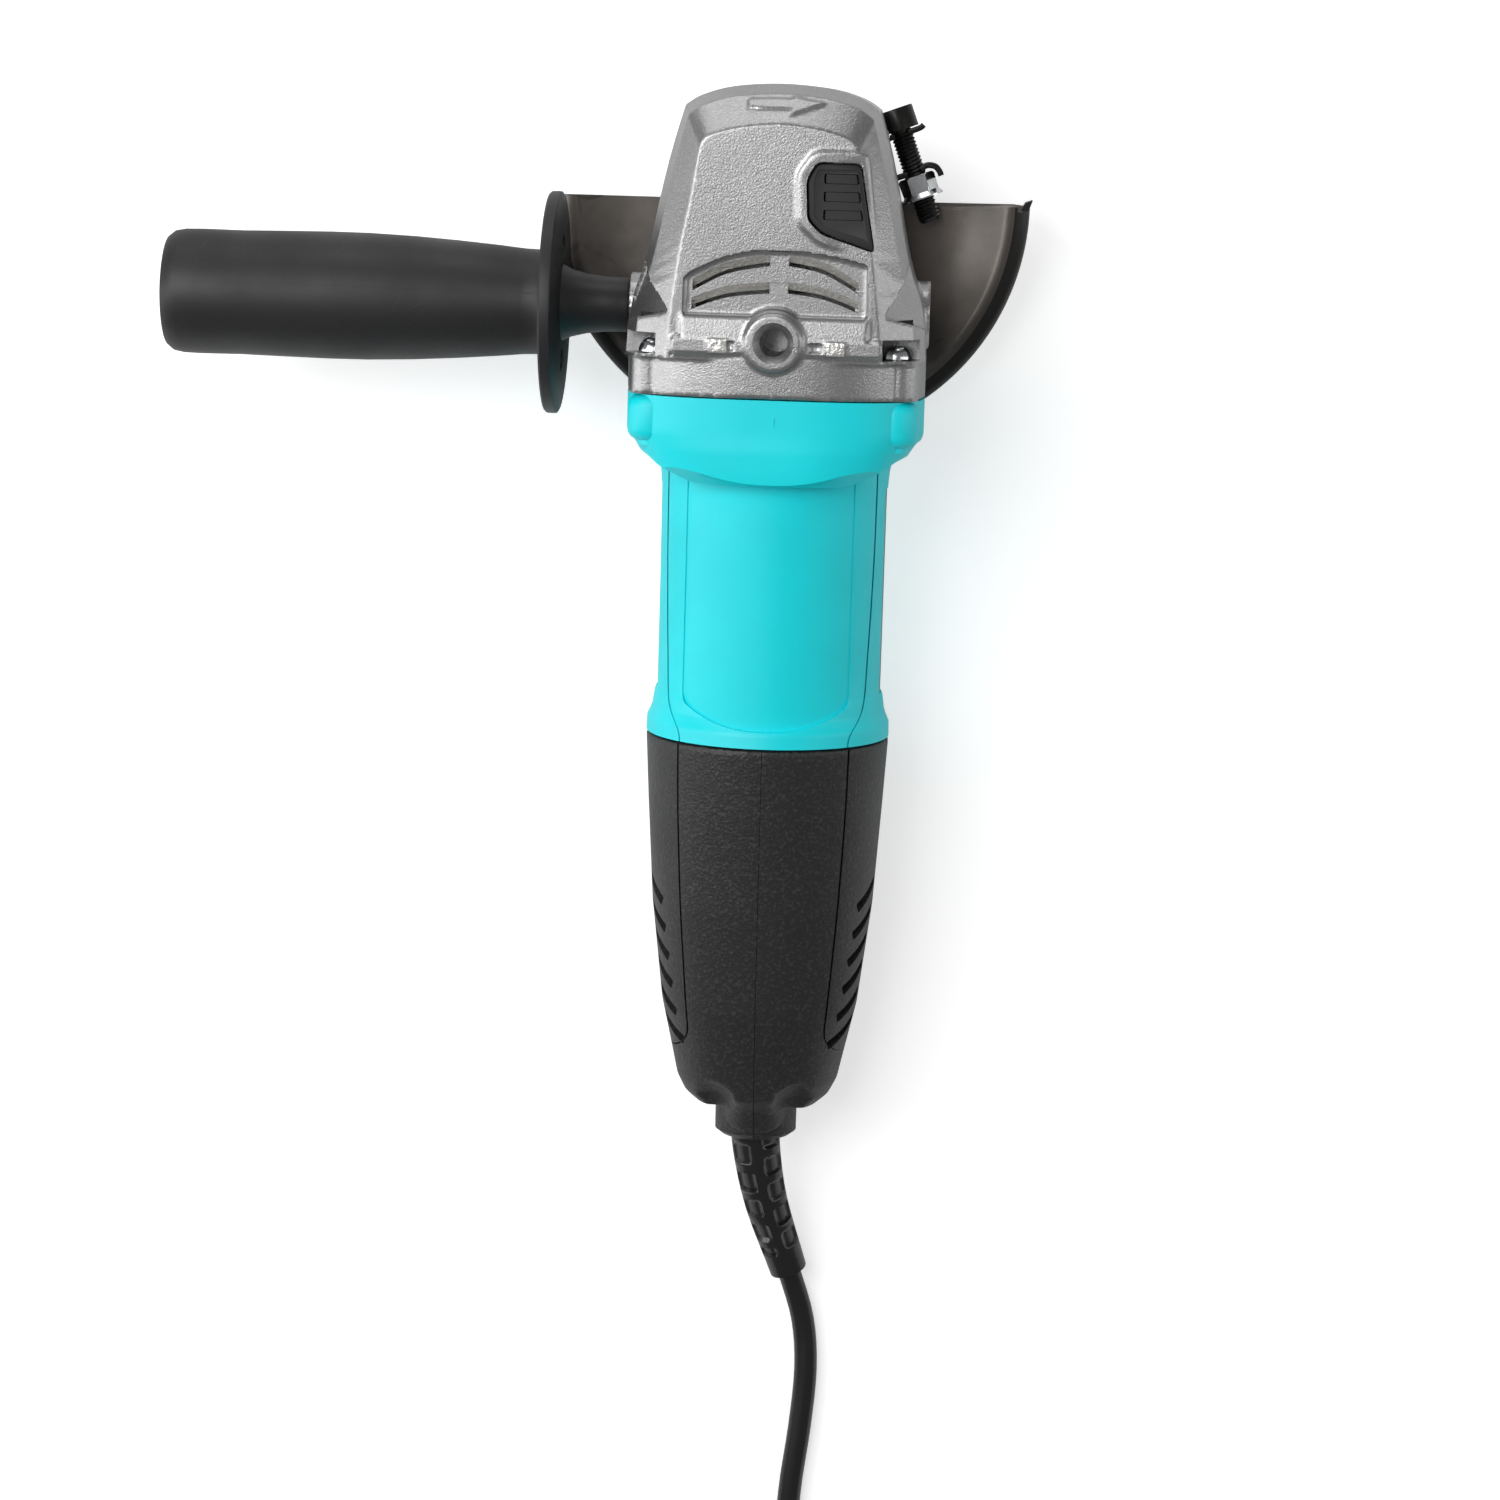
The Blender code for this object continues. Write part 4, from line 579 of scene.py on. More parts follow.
# %% The cord's curve
bpy.ops.curve.primitive_bezier_curve_add()
cord = bpy.context.object
cord.name = "mains_cord"
cord.data.splines.clear()
spline = cord.data.splines.new("POLY")
spline.points.add(len(line) - 1)
for point, place in zip(spline.points, line):
    point.co = (*place, 1)
cord.data.bevel_depth = CORD_RADIUS * MM
cord.data.bevel_resolution = 5
cord.data.use_fill_caps = True
cord.data.materials.append(cord_black)
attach(cord, "base")
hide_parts("cord_tube", "cord_coil")

# %% [markdown]
# ## The cord's sleeve
# The sleeve that stops the cord from kinking at the tail is a taper of soft PVC, cut into staggered
# windows so that it bends evenly. It is modelled straight, as a grid wrapped round an axis, with the
# windows pressed into its surface, and is then laid along the cord's own line.

# %% The sleeve
SLEEVE_START, SLEEVE_LENGTH = 20.0, 54.0  # along the cord, in millimetres
WINDOW_PITCH, WINDOW_LONG, WINDOW_WIDE, WINDOW_DEEP = 7.7, 5.6, 62.0, 0.85


def sleeve_radius(distance, degrees):
    """Tapered outside; 12 mm of it sits in the tail, behind a flange that the tail's groove holds."""
    if 3.2 < distance < 5.8:
        return 9.0
    taper = 6.5 if distance < 12 else 6.5 - 1.5 * (distance - 12) / (SLEEVE_LENGTH - 12)
    if distance < 12.4 or distance > SLEEVE_LENGTH - 7.5:
        return taper
    column = round((degrees - 45) / 90)
    along_way = (distance - 16.0 - (WINDOW_PITCH / 2 if column % 2 else 0)) / WINDOW_PITCH
    from_middle = abs(along_way - round(along_way)) * WINDOW_PITCH
    off_column = abs(degrees - 45 - 90 * column)
    long_way = min(max((WINDOW_LONG / 2 - from_middle) / 0.5, 0), 1)
    wide_way = min(max((WINDOW_WIDE / 2 - off_column) / 6.0, 0), 1)
    ridge = 0.25 if 0 < long_way < 1 and wide_way > 0 else 0
    return taper - WINDOW_DEEP * long_way * wide_way + ridge


def on_line(distance):
    """The cord's point at a distance in millimetres, with the two directions across it."""
    goal = distance * MM
    i = next((j for j in range(1, len(line)) if distances[j] >= goal), len(line) - 1)
    share = (goal - distances[i - 1]) / (distances[i] - distances[i - 1])
    way = (line[min(i + 1, len(line) - 1)] - line[max(i - 2, 0)]).normalized()
    side = way.cross(Vector((0, 0, 1))).normalized()
    return line[i - 1].lerp(line[i], share), side, side.cross(way).normalized()


AROUND, SLEEVE_BORE, SLEEVE_STEP = 64, 3.5, 0.5
rings = []
count = round(SLEEVE_LENGTH / SLEEVE_STEP)
for k in range(count + 1):
    place, side, rise = on_line(SLEEVE_START + SLEEVE_STEP * k)
    ring = []
    for n, (c, s) in enumerate(circle(AROUND)):
        radius = sleeve_radius(SLEEVE_STEP * k, 360 * n / AROUND) * MM
        ring.append(place + (side * c + rise * s) * radius)
    rings.append(ring)
for k in range(count, -1, -4):
    place, side, rise = on_line(SLEEVE_START + SLEEVE_STEP * k)
    rings.append([place + (side * c + rise * s) * SLEEVE_BORE * MM for c, s in circle(AROUND)])
sleeve = wrapped("cord_sleeve", [[p / MM for p in ring] for ring in rings], closed=True)
sleeve.data.transform(Matrix.Scale(MM, 4))
finished(sleeve, "base", cord_black, ["cord_boot"], smooth=40, placed=False)

# %% [markdown]
# ## The plug and the tie
# The plug is a two-pin moulding with a flat oval body, a ribbed neck and pins whose inner halves are
# insulated. Its section grows from a round neck to a wide oval, so it is a grid wrapped over ovals. The
# tie is a strap wrapped once round the coil's bundle.

# %% The plug
PLUG_LONG = 48
low, high = (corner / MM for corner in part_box("mains_plug"))
plug_y, plug_z, plug_rear = (low.y + high.y) / 2, (low.z + high.z) / 2, high.x
shape = [(0, 4.3, 4.3), (1, 4.8, 4.8), (9, 5.2, 5.0), (14, 6.0, 5.5), (20, 9.2, 6.8), (26, 13.6, 8.0)]
shape += [(31, 16.4, 8.7), (36, 17.4, 9.0), (44, 17.5, 9.0), (46.6, 17.2, 8.7), (47.8, 16.2, 7.8)]
shape += [(PLUG_LONG, 15.6, 7.2)]
rings = []
for place, half_wide, half_deep in shape:
    x = plug_rear - place
    rings.append([(x, plug_y + half_wide * c, plug_z + half_deep * s) for c, s in circle(72)])
plug = wrapped("plug_body", rings)
for k in range(5):
    ring = turned("rib", [(4.2, -0.5), (7.5, -0.5), (7.5, 0.5), (4.2, 0.5)], "X", steps=48)
    carve(plug, moved(ring, plug_rear - 2.5 - 2.2 * k, plug_y, plug_z))
for k in range(3):
    cutter = block("grip_line", (-0.45, 0.45), (-40, 40), (-40, 40))
    core = pin("core", 16.8, -2, 2, "X", steps=64)
    core.data.transform(Matrix.Diagonal((1, 1, 0.515, 1)))
    carve(cutter, core)
    carve(plug, moved(cutter, plug_rear - 37 - 2.6 * k, plug_y, plug_z))
plug.data.transform(Matrix.Scale(MM, 4))
finished(plug, "base", cord_black, ["mains_plug"], placed=False)

PIN_SPREAD, PIN_RADIUS, SLEEVED, PIN_END = 9.3, 1.95, 10.0, 18.6
sleeve_line = [(0, 3), (PIN_RADIUS, 3), (PIN_RADIUS, -SLEEVED), (0, -SLEEVED)]
pin_line = [(0, -SLEEVED - 0.01), (PIN_RADIUS, -SLEEVED - 0.01), (PIN_RADIUS, 1.4 - PIN_END)]
pin_line += [(1.2, -PIN_END), (0, -PIN_END)]
pin_parts = (("sleeve", sleeve_line, cord_black, "cord_pvc"), ("pin", pin_line, steel, "steel"))
for side, name in ((-1, "left"), (1, "right")):
    for label, profile, look, slot in pin_parts:
        piece = turned(f"plug_{label}_{name}", profile, "X", steps=32)
        at_face = Matrix.Translation((plug_rear - PLUG_LONG, plug_y + side * PIN_SPREAD, plug_z))
        piece.data.transform(Matrix.Scale(MM, 4) @ at_face)
        finished(piece, "base", look, placed=False)

# %% The tie
TIE_ANGLE, TIE_WIDTH, TIE_THICK = 100.0, 7.0, 0.8
tie_middle = Vector(((radii[0] + radii[2]) / 2, 0, (levels[0] + levels[2]) / 2))
half_wide = (radii[0] - radii[2]) / 2 + CORD_RADIUS + 0.1
half_high = (levels[2] - levels[0]) / 2 + CORD_RADIUS + 0.1
corners = []
for c, s in circle(32):
    x = math.copysign(half_wide - CORD_RADIUS, c) + CORD_RADIUS * c if abs(c) > 1e-6 else 0
    z = math.copysign(half_high - CORD_RADIUS, s) + CORD_RADIUS * s if abs(s) > 1e-6 else 0
    corners.append((x, z, c, s))
outer = [(x + c * TIE_THICK, z + s * TIE_THICK) for x, z, c, s in corners]
tie = plate("cord_tie", outer, -TIE_WIDTH / 2, TIE_WIDTH / 2, "Y")
carve(tie, plate("inside", [(x, z) for x, z, c, s in corners], -TIE_WIDTH, TIE_WIDTH, "Y"))
soften(tie, 0.2, 2)
weld(tie, block("lock", (half_wide + TIE_THICK - 0.2, half_wide + 3.6), (-4, 4), (-2.6, 2.6)))
place = Matrix.Rotation(math.radians(TIE_ANGLE), 4, "Z") @ Matrix.Translation(tie_middle)
at_coil = Matrix.Translation(below_tool) @ Matrix.Scale(MM, 4) @ Matrix.Translation(COIL_CENTRE)
tie.data.transform(at_coil @ place)
finished(tie, "base", handle_black, placed=False)

# %% [markdown]
# ## The gear head
# The head is an aluminium casting: an upright wall with a wide chamfer up to a flat top, a flange at the
# rear, bosses for the handle and ribs between them. It is lofted from its outline seen from the top,
# details are added and cut, and then all of it is remeshed into small faces and relaxed. That gives each
# edge the soft round of a casting at once. Bores are cut afterwards, because they are machined sharp.

# %% Outlines of the body
def arc(points, parts=4):
    """A smooth line through points given as tuples."""
    return [tuple(p) for p in smooth_line([Vector(p) for p in points], parts)[0]]


def mirrored(half):
    """A whole outline, front first, from its right half."""
    return half + [(-x, y) for x, y in reversed(half) if x > 0]


def head_outline(front, side):
    return mirrored(arc([(-front[1][0], front[1][1]), *front])[4:-1] + arc(side))


def section(y, half_width, top, bottom, power):
    """The body's cross-section at y, a rounded square as square as its power."""
    middle, half_height = (top + bottom) / 2, (top - bottom) / 2
    ring = []
    for c, s in circle(96):
        x = half_width * math.copysign(abs(c) ** (2 / power), c)
        ring.append((x, y, middle + half_height * math.copysign(abs(s) ** (2 / power), s)))
    return ring


def lofted(name, rows):
    """A body wrapped over rows of (y, half width, top, bottom, power)."""
    return wrapped(name, [section(*row) for row in rows])


def prism(name, outline, low, high):
    """A plate whose top is a function of (x, y)."""
    piece = plate(name, outline, low, low + 1)
    for vertex in piece.data.vertices:
        if vertex.co.z > low + 0.5:
            vertex.co.z = high(vertex.co.x, vertex.co.y)
    return piece


def rounded(outline, radius, parts=4):
    """An outline with each corner turned into a small curve."""
    points = []
    for i, corner in enumerate(outline):
        here = Vector(corner)
        before, after = Vector(outline[i - 1]), Vector(outline[(i + 1) % len(outline)])
        reach = [min(radius, (other - here).length * 0.45) for other in (before, after)]
        start = here + (before - here).normalized() * reach[0]
        end = here + (after - here).normalized() * reach[1]
        for k in range(parts + 1):
            t = k / parts
            points.append(tuple(start * (1 - t) ** 2 + here * 2 * t * (1 - t) + end * t**2))
    return points


def grown(outline, amount):
    """An outline pushed outwards, away from its own middle."""
    middle = sum((Vector(p) for p in outline), Vector((0, 0))) / len(outline)
    return [tuple(Vector(p) + (Vector(p) - middle).normalized() * amount) for p in outline]


BASE, SHOULDER, EDGE, TOP = -17.0, 24.0, 30.5, 36.5
PAST_TOP = TOP + 5  # where a cutter that comes in from above starts
WALL_FRONT = [(0, 30.4), (12, 29.5), (20, 27.2), (24.2, 24.6)]
WALL_SIDE = [(24.2, 24.6), (26.8, 15.5), (29.3, 5.0), (33.0, -13.0), (36.9, -25.0), (38.0, -38.0)]
TOP_FRONT = [(0, 20.5), (10, 19.4), (17.5, 17.2), (19.7, 14.5)]
TOP_SIDE = [(19.7, 14.5), (20.6, 9.0), (21.5, 2.5), (23.7, -9.0), (25.8, -25.0), (27.0, -38.0)]
wall_outline, top_outline = head_outline(WALL_FRONT, WALL_SIDE), head_outline(TOP_FRONT, TOP_SIDE)
rings = []
for height, share in ((BASE, 0), (SHOULDER, 0), (EDGE, 0.25), (TOP, 1)):
    pairs = zip(wall_outline, top_outline)
    rings.append([(a + (c - a) * share, b + (d - b) * share, height) for (a, b), (c, d) in pairs])
head = wrapped("gear_head", rings)

# %% Flange, handle bosses, screw columns and corner ribs
FLANGE_FRONT, SEAM = -37.3, -47.5
FLARE = (38.1, 37.0, -29.0, 3.2)
HANDLE_Y, SIDE_BOSS, RING_Y, RING_TOP = -27.0, 38.6, -33.4, 38.6
SCREW_X, SCREW_ZS = 30.6, (25.4, -17.4)
weld(head, lofted("flange", [(FLANGE_FRONT, *FLARE), (SEAM, *FLARE)]))
for side in (-1, 1):
    weld(head, pin("side_boss", 8.5, *sorted((side * SIDE_BOSS, side * 28)), "X", (HANDLE_Y, 0), 48))
    weld(head, pin("column", 5.0, SEAM, FLANGE_FRONT - 0.1, "Y", (side * 31.6, 25.9), 48))


def hull(name, points):
    """The solid that a skin stretched over some points would enclose."""
    bpy.ops.mesh.primitive_ico_sphere_add(subdivisions=1, radius=1)
    piece = bpy.context.object
    piece.name = name
    for i, vertex in enumerate(piece.data.vertices):
        vertex.co = points[i % len(points)]
    steps = [(bpy.ops.mesh.remove_doubles, {"threshold": 1e-4}), (bpy.ops.mesh.convex_hull, {})]
    steps += [(bpy.ops.mesh.select_all, {"action": "SELECT"})]
    return in_edit_mode(piece, *steps, (bpy.ops.mesh.normals_make_consistent, {"inside": False}))


# each corner facet is a wedge cut away below a plane through three points
FACET_LEFT = [(-32.4, -14.4, 23), (-25.6, -26.6, 34.6), (-38.4, -30.2, 17)]
FACET_RIGHT = [(33.4, -12.2, 23), (27.0, -26.4, 34.6), (38.4, -30.2, 17)]
for points in (FACET_LEFT, FACET_RIGHT):
    away = [(x * 1.25 + dx, y + dy, z + 12) for (x, y, z), dx, dy in zip(points, (0, 0, 0), (3, 0, 0))]
    carve(head, hull("facet", points + away))

# %% The top's details: button frame, vent panel, bars, strap and ring
BUTTON = [(9.7, 11.1), (20.3, 11.1), (24.2, -10.2), (11.2, -5.8), (7.9, -2.5), (7.4, 6.8)]
FRAME = [(8.6, 14.2), (22.0, 14.2), (22.6, 12.0), (25.6, -12.6), (10.4, -8.4), (5.2, -4.0), (4.6, 8.6)]
PANEL_TOP = [(-22.7, -17.4), (-15.0, -13.4), (-7.5, -11.2), (0, -10.6), (8.0, -10.9)]
PANEL_TOP += [(16.0, -12.0), (22.9, -13.6)]
panel = arc(PANEL_TOP) + [(23.2, -27.4), (-23.0, -27.4)]
carve(head, plate("vent_panel", rounded(panel, 1.2), TOP - 1.3, PAST_TOP))
frame_top = prism("button_frame", rounded(FRAME, 2.4), 28, lambda x, y: TOP + 0.7 - 0.34 * max(0, x - 19.5))
weld(head, soften(frame_top, 0.5, 2, 60))
for low, high in ((-23.2, -4.0), (4.0, 23.4)):
    bar = [(low, -31.9), (high, -31.9), (high, -27.2), (low, -27.2)]
    weld(head, prism("bar", bar, 25, lambda x, y: TOP + 0.35 + (y < -30) * 0.5))
    gap = (min(abs(low), abs(high)) + 2.2, max(abs(low), abs(high)) + 1.5)
    gap = gap if low >= 0 else (-gap[1], -gap[0])
    carve(head, block("groove", gap, (-32.5, -31.9), (TOP - 0.7, PAST_TOP)))
strap = rounded([(-25.6, -36.6), (27.2, -36.6), (27.2, -32.5), (-25.6, -32.5)], 0.8)
weld(head, soften(plate("strap", strap, 25, TOP + 1.0), 0.35, 2, 60))
carve(head, block("strap_line", (-25.6, 27.2), (-37.5, -36.6), (TOP - 0.4, PAST_TOP)))
for pocket in ((-12.9, -9.7), (8.8, 12.2)):
    carve(head, block("strap_pocket", pocket, (-35.9, -33.0), (TOP + 0.2, PAST_TOP)))
PADS = ((-16.4, -11.6), (13.2, 17.8))
for pad in PADS:
    weld(head, block("pad", pad, (-36.0, -33.0), (TOP, TOP + 1.25)))
skirt = [(0, 20), (8.5, 20), (8.4, TOP + 0.3), (7.7, TOP + 0.8), (7.3, RING_TOP - 0.5)]
skirt += [(6.8, RING_TOP), (0, RING_TOP)]
weld(head, turned("ring", skirt, at=(0, RING_Y)))

# %% The arrow that shows which way the disc turns
ARROW = [(-7.8, 24.4), (3.4, 24.4), (2.6, 22.9), (10.8, 25.9), (3.2, 27.2), (3.4, 26.6), (-7.8, 26.6)]


def on_front_slope(x, y, above=0.0):
    return EDGE + (27.9 - 0.0064 * x * x - y) * (TOP - EDGE) / 7.4 + above


weld(head, prism("arrow", ARROW, 20, lambda x, y: on_front_slope(x, y, 0.55)))
recast(head, 0.5, 1)
print(len(head.data.polygons), "faces after the recast")

# %% Vents: two slots whose front walls slope down to a narrow gap
SLOTS = [
    (arc([(-20.6, -19.6), (-12.0, -15.2), (-1.4, -13.0)]), arc([(3.2, -12.9), (12.0, -14.6), (20.8, -19.3)])),
    (arc([(-20.8, -24.2), (-12.0, -21.1), (-1.4, -19.8)]), arc([(3.2, -19.7), (12.0, -20.9), (20.8, -24.0)])),
]


def band(middle, up, down):
    """A strip round a line seen from the top, reaching up and down from it."""
    return [(x, y + up) for x, y in middle] + [(x, y - down) for x, y in reversed(middle)]


for pair in SLOTS:
    for middle in pair:
        levels = ((TOP + 1, 1.5, 1.5), (TOP - 1.4, 1.45, 1.45), (TOP - 3.2, -0.5, 1.45), (TOP - 6, -0.6, 1.4))
        rings = [[(x, y, height) for x, y in band(middle, up, down)] for height, up, down in levels]
        carve(head, wrapped("slot", rings))
for y in (-13.0, -19.8):
    bridge = band(arc([(-1.6, y), (3.4, y + 0.1)], 2), 1.3, 1.3)
    carve(head, plate("bridge", bridge, TOP - 2.4, TOP + 1))

# %% The inside: gear chamber, bearing seats, pocket and bores
CHAMBER, CHAMBER_TOP, PIN_X = 24.8, 15.0, 12.3
carve(head, pin("chamber", CHAMBER, BASE - 1, CHAMBER_TOP, steps=96))
edge = [math.radians(80 + 150 * k / 30) for k in range(31)]
hub_room = [(r * math.cos(a), r * math.sin(a)) for r, row in ((20.0, edge), (9.5, edge[::-1])) for a in row]
carve(head, plate("upper_room", hub_room, CHAMBER_TOP - 1, TOP - 5))
carve(head, pin("pinion_bore", 9.8, -33.8, -8, "Y", steps=64))
carve(head, pin("bearing_seat", 13.3, SEAM - 1, -33.0, "Y", steps=64))
carve(head, lofted("rear_recess", [(y, 35.1, 34.0, -26.0, 3.2) for y in (SEAM - 1, SEAM + 4)]))
carve(head, block("air_way", (-20, 20), (SEAM - 1, -12), (18.5, TOP - 4)))
weld(head, pin("ring_post", 6.9, 14, TOP - 0.5, at=(0, RING_Y), steps=48))
carve(head, pin("ring_hole", 3.5, 16, RING_TOP + 1, at=(0, RING_Y), steps=48))
funnel = [(0, RING_TOP - 2.1), (3.4, RING_TOP - 2.1), (5.5, RING_TOP + 0.4), (0, RING_TOP + 0.4)]
carve(head, turned("ring_mouth", funnel, at=(0, RING_Y)))
for low, high, radius in ((-39.6, -26, 4.3), (26, 39.6, 3.4)):
    carve(head, pin("stud_bore", radius, low, high, "X", (HANDLE_Y, 0), 40))
carve(head, pin("needle_bore", 6.3, CHAMBER_TOP - 1, 28.3, steps=48))
pocket = rounded(grown(BUTTON, 0.55), 1.6)
carve(head, plate("button_pocket", pocket, 24.5, PAST_TOP))
carve(head, pin("spring_bore", 4.2, 18, 25.5, at=(PIN_X, 0)), pin("pin_bore", 2.55, 14, 19, at=(PIN_X, 0)))
for x in (-SCREW_X, SCREW_X):
    for z in SCREW_ZS:
        carve(head, pin("screw_seat", 4.7, FLANGE_FRONT, FLANGE_FRONT + 10, "Y", (x, z)))
        carve(head, pin("screw_hole", 2.2, SEAM - 1, FLANGE_FRONT + 1, "Y", (x, z)))
for notch in ((-38.8, -29.6), (27.2, 36.4)):
    carve(head, block("driver_notch", notch, (FLANGE_FRONT, -31.9), (20.8, 45)))
carrier_spots = [(side * x, y) for side in (-1, 1) for x, y in ((22.5, 17.5), (29.0, -20.0))]
for spot in carrier_spots:
    carve(head, pin("plate_screw_hole", 2.2, BASE - 1, -6, at=spot))

# %% Rough bright metal inside the slots and on the worn pads
head.data.materials.clear()
for look in (cast_metal, bright_cast):
    head.data.materials.append(look)
for face in head.data.polygons:
    x, y, z = face.center
    in_slot = abs(x) < 21.2 and -26 < y < -11 and 29.5 < z < TOP - 1.55 and not -1.8 < x < 3.6
    on_pad = -36.0 < y < -33.0 and z > TOP + 1.1 and any(low < x < high for low, high in PADS)
    face.material_index = 1 if in_slot or on_pad else 0
finished(head, "base", cast_metal, ["gear_housing"])

# %% [markdown]
# ## The spindle lock's button
# A plastic cap with a raised border and three pressed pads that a thumb can feel. It slides down with
# the lock pin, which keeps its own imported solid.

# %% The button
def button_top(x, y):
    return 35.75 - 0.13 * (x - 8)


button = soften(prism("button_cap", rounded(BUTTON, 1.2), 30.5, button_top), 0.35, 3, 60)
FIELD_LOW = 33.9
BUTTON_FIELD = [(9.8, 9.7), (19.5, 9.7), (22.4, -7.6), (11.8, -4.6), (9.2, -1.9), (8.8, 6.4)]
carve(button, soften(plate("field", rounded(BUTTON_FIELD, 0.8), FIELD_LOW, 40), 0.2, 2, 60))
for vertex in button.data.vertices:
    if abs(vertex.co.z - FIELD_LOW) < 0.25:
        vertex.co.z = button_top(vertex.co.x, 0) - 0.3 + (vertex.co.z - FIELD_LOW)
for high, right in ((8.6, 19.4), (4.2, 20.0), (-0.3, 20.7)):
    pad = [(11.7, high - 2.3), (right + 0.4, high - 2.3), (right, high), (11.7, high)]
    carve(button, prism("pad_groove", rounded(grown(pad, 0.35), 0.5), 32, lambda x, y: 40))
    weld(button, prism("pad", rounded(grown(pad, -0.15), 0.4), 31.5, lambda x, y: button_top(x, y) - 0.55))
finished(button, "lock", button_grey, ["lock_button"], smooth=40)

# %% [markdown]
# ## Screws in the head's flange
# Zinc-plated pan heads with a cross recess. One is modelled and the other three are copies.

# %% Flange screws
seat = FLANGE_FRONT + 0.3
SCREW_TIP = SEAM - 12.2
screw_line = [(0, seat + 3.4), (1.6, seat + 3.3), (2.8, seat + 2.8), (3.6, seat + 1.8), (3.95, seat + 0.6)]
screw_line += [(3.95, seat), (1.9, seat), (1.9, SCREW_TIP), (0, SCREW_TIP)]
first_screw = turned("flange_screw_1", screw_line, "Y", steps=48)
crossed(first_screw, 2.2, 0.45, seat + 1.2, seat + 5, "Y")
ring = [(4.0, seat + 0.5), (5.2, seat + 0.5), (5.2, seat + 0.75), (4.0, seat + 0.75)]
carve(first_screw, turned("head_line", ring, "Y", steps=48))
spots = [(side * SCREW_X, z) for side in (-1, 1) for z in SCREW_ZS]
for number, (x, z) in enumerate(spots, 1):
    only(first_screw)
    bpy.ops.object.duplicate()
    screw = bpy.context.object
    screw.name = f"flange_screw_{number}"
    screw.data.transform(Matrix.Translation((x, 0, z)) @ Matrix.Rotation(0.5 * number, 4, "Y"))
    finished(screw, "base", zinc, [f"gear_housing_screw_{number}"])
bpy.data.objects.remove(first_screw)

# %% [markdown]
# ## The motor housing
# A moulded shell: square where it meets the head, round where a hand holds it, and flared again where it
# meets the tail. A raised crescent collar runs over the top, and behind it a long shallow panel with a
# bulging lower edge is set into the barrel. Two thin parting grooves run along the sides.

# %% The shell's outside
SHELL_START, BARREL, TAIL_SEAM, TAIL_HALF = SEAM - 0.3, 29.2, -137.0, 31.8
TAIL_ROUND = (TAIL_HALF, TAIL_HALF, -TAIL_HALF, 2.0)
stations = [(SHELL_START, *FLARE), (-57.2, *FLARE), (-58.4, 37.7, 36.6, -29.0, 3.1)]
stations += [(-61.0, 34.9, 34.2, -29.0, 2.7), (-63.6, 31.9, 31.4, -BARREL, 2.3)]
stations += [(-65.4, 30.3, 30.2, -BARREL, 2.1), (-67.5, 29.8, 29.8, -29.5, 2.03)]
stations += [(-70.6, 29.5, 29.5, -29.4, 2.0), (-100.0, BARREL, BARREL, -BARREL, 2.0)]
stations += [(-125.0, 29.3, 29.3, -29.3, 2.0), (-126.6, 29.9, 29.6, -29.6, 2.0)]
stations += [(-130.2, 30.4, 29.9, -29.9, 2.0), (-131.8, 31.0, 30.5, -30.4, 2.0)]
stations += [(-133.4, 31.7, 31.3, -31.2, 2.0), (TAIL_SEAM, *TAIL_ROUND)]


def finer(rows, parts=4):
    """More sections between the given ones, evenly spread."""
    more = []
    for near, far in zip(rows, rows[1:]):
        more += [tuple(a + (b - a) * k / parts for a, b in zip(near, far)) for k in range(parts)]
    return more + [rows[-1]]


def shrunk(rows, wall):
    """The same sections, smaller all round by a wall's thickness."""
    return [(y, half - wall, top - wall, bottom + wall, power) for y, half, top, bottom, power in rows]


def ribbon(middle, half_width, drop=0.0):
    """A strip round a line seen from the top, its right edge this much lower."""
    right = [(x + half_width, y - drop) for x, y in reversed(middle)]
    return [(x - half_width, y) for x, y in middle] + right


housing = lofted("motor_shell", finer(stations))
collar_rows = [(SHELL_START - 0.5, *FLARE), (-57.2, *FLARE), (-61.0, 35.2, 37.2, -20, 3.1)]
collar_rows += [(-66.0, 32.0, 37.0, -10, 2.9), (-73.0, 30.0, 36.4, -10, 2.7)]
collar = lofted("collar", finer(collar_rows))
CRESCENT = [(-44, -56.5), (-33, -59.0), (-27.5, -62.4), (-18, -66.4), (-9, -68.6), (0, -69.2)]
CRESCENT += [(9, -68.6), (18, -66.2), (27.5, -62.0), (33, -58.8), (44, -56.5)]
rings = []
for height, shift in ((-20, -3.6), (30, -3.6), (33.2, -1.4), (35.4, 0.0), (45, 1.2)):
    edge = [(x, y + shift, height) for x, y in arc(CRESCENT)]
    rings.append(edge + [(44, -90, height), (-44, -90, height)])
carve(collar, wrapped("collar_edge", rings))
weld(housing, collar)

# %% Panel, grooves and screw columns on the shell
def skin_deep(cutter, rows, depth):
    """Keep of a cutter only what reaches this deep below the surface that the rows describe."""
    return carve(cutter, lofted("core", shrunk(finer(rows), depth)))


PANEL_SIDE, PANEL_END, PANEL_BULGE = 21.4, -126.8, 6.0
lower = []
for x in (PANEL_SIDE * k / 10 for k in range(10, -11, -1)):
    lower.append((x, PANEL_END - PANEL_BULGE * (1 - abs(x / PANEL_SIDE) ** 2.6)))
field = rounded([(-PANEL_SIDE, -60.0), (PANEL_SIDE, -60.0)] + lower, 3.0)
cutter = plate("panel_field", field, 0, 60)
skin_deep(cutter, [*stations[6:10], (-136.8, 29.3, 29.3, -29.3, 2.0)], 0.22)
carve(cutter, block("front", (-60, 60), (-69.6, -40), (0, 80)))
carve(housing, cutter)
SIDE_LINE = [(26.8, -66.0), (26.6, -90.0), (25.8, -115.0), (25.0, -128.0), (22.0, -134.4), (21.6, -139.0)]
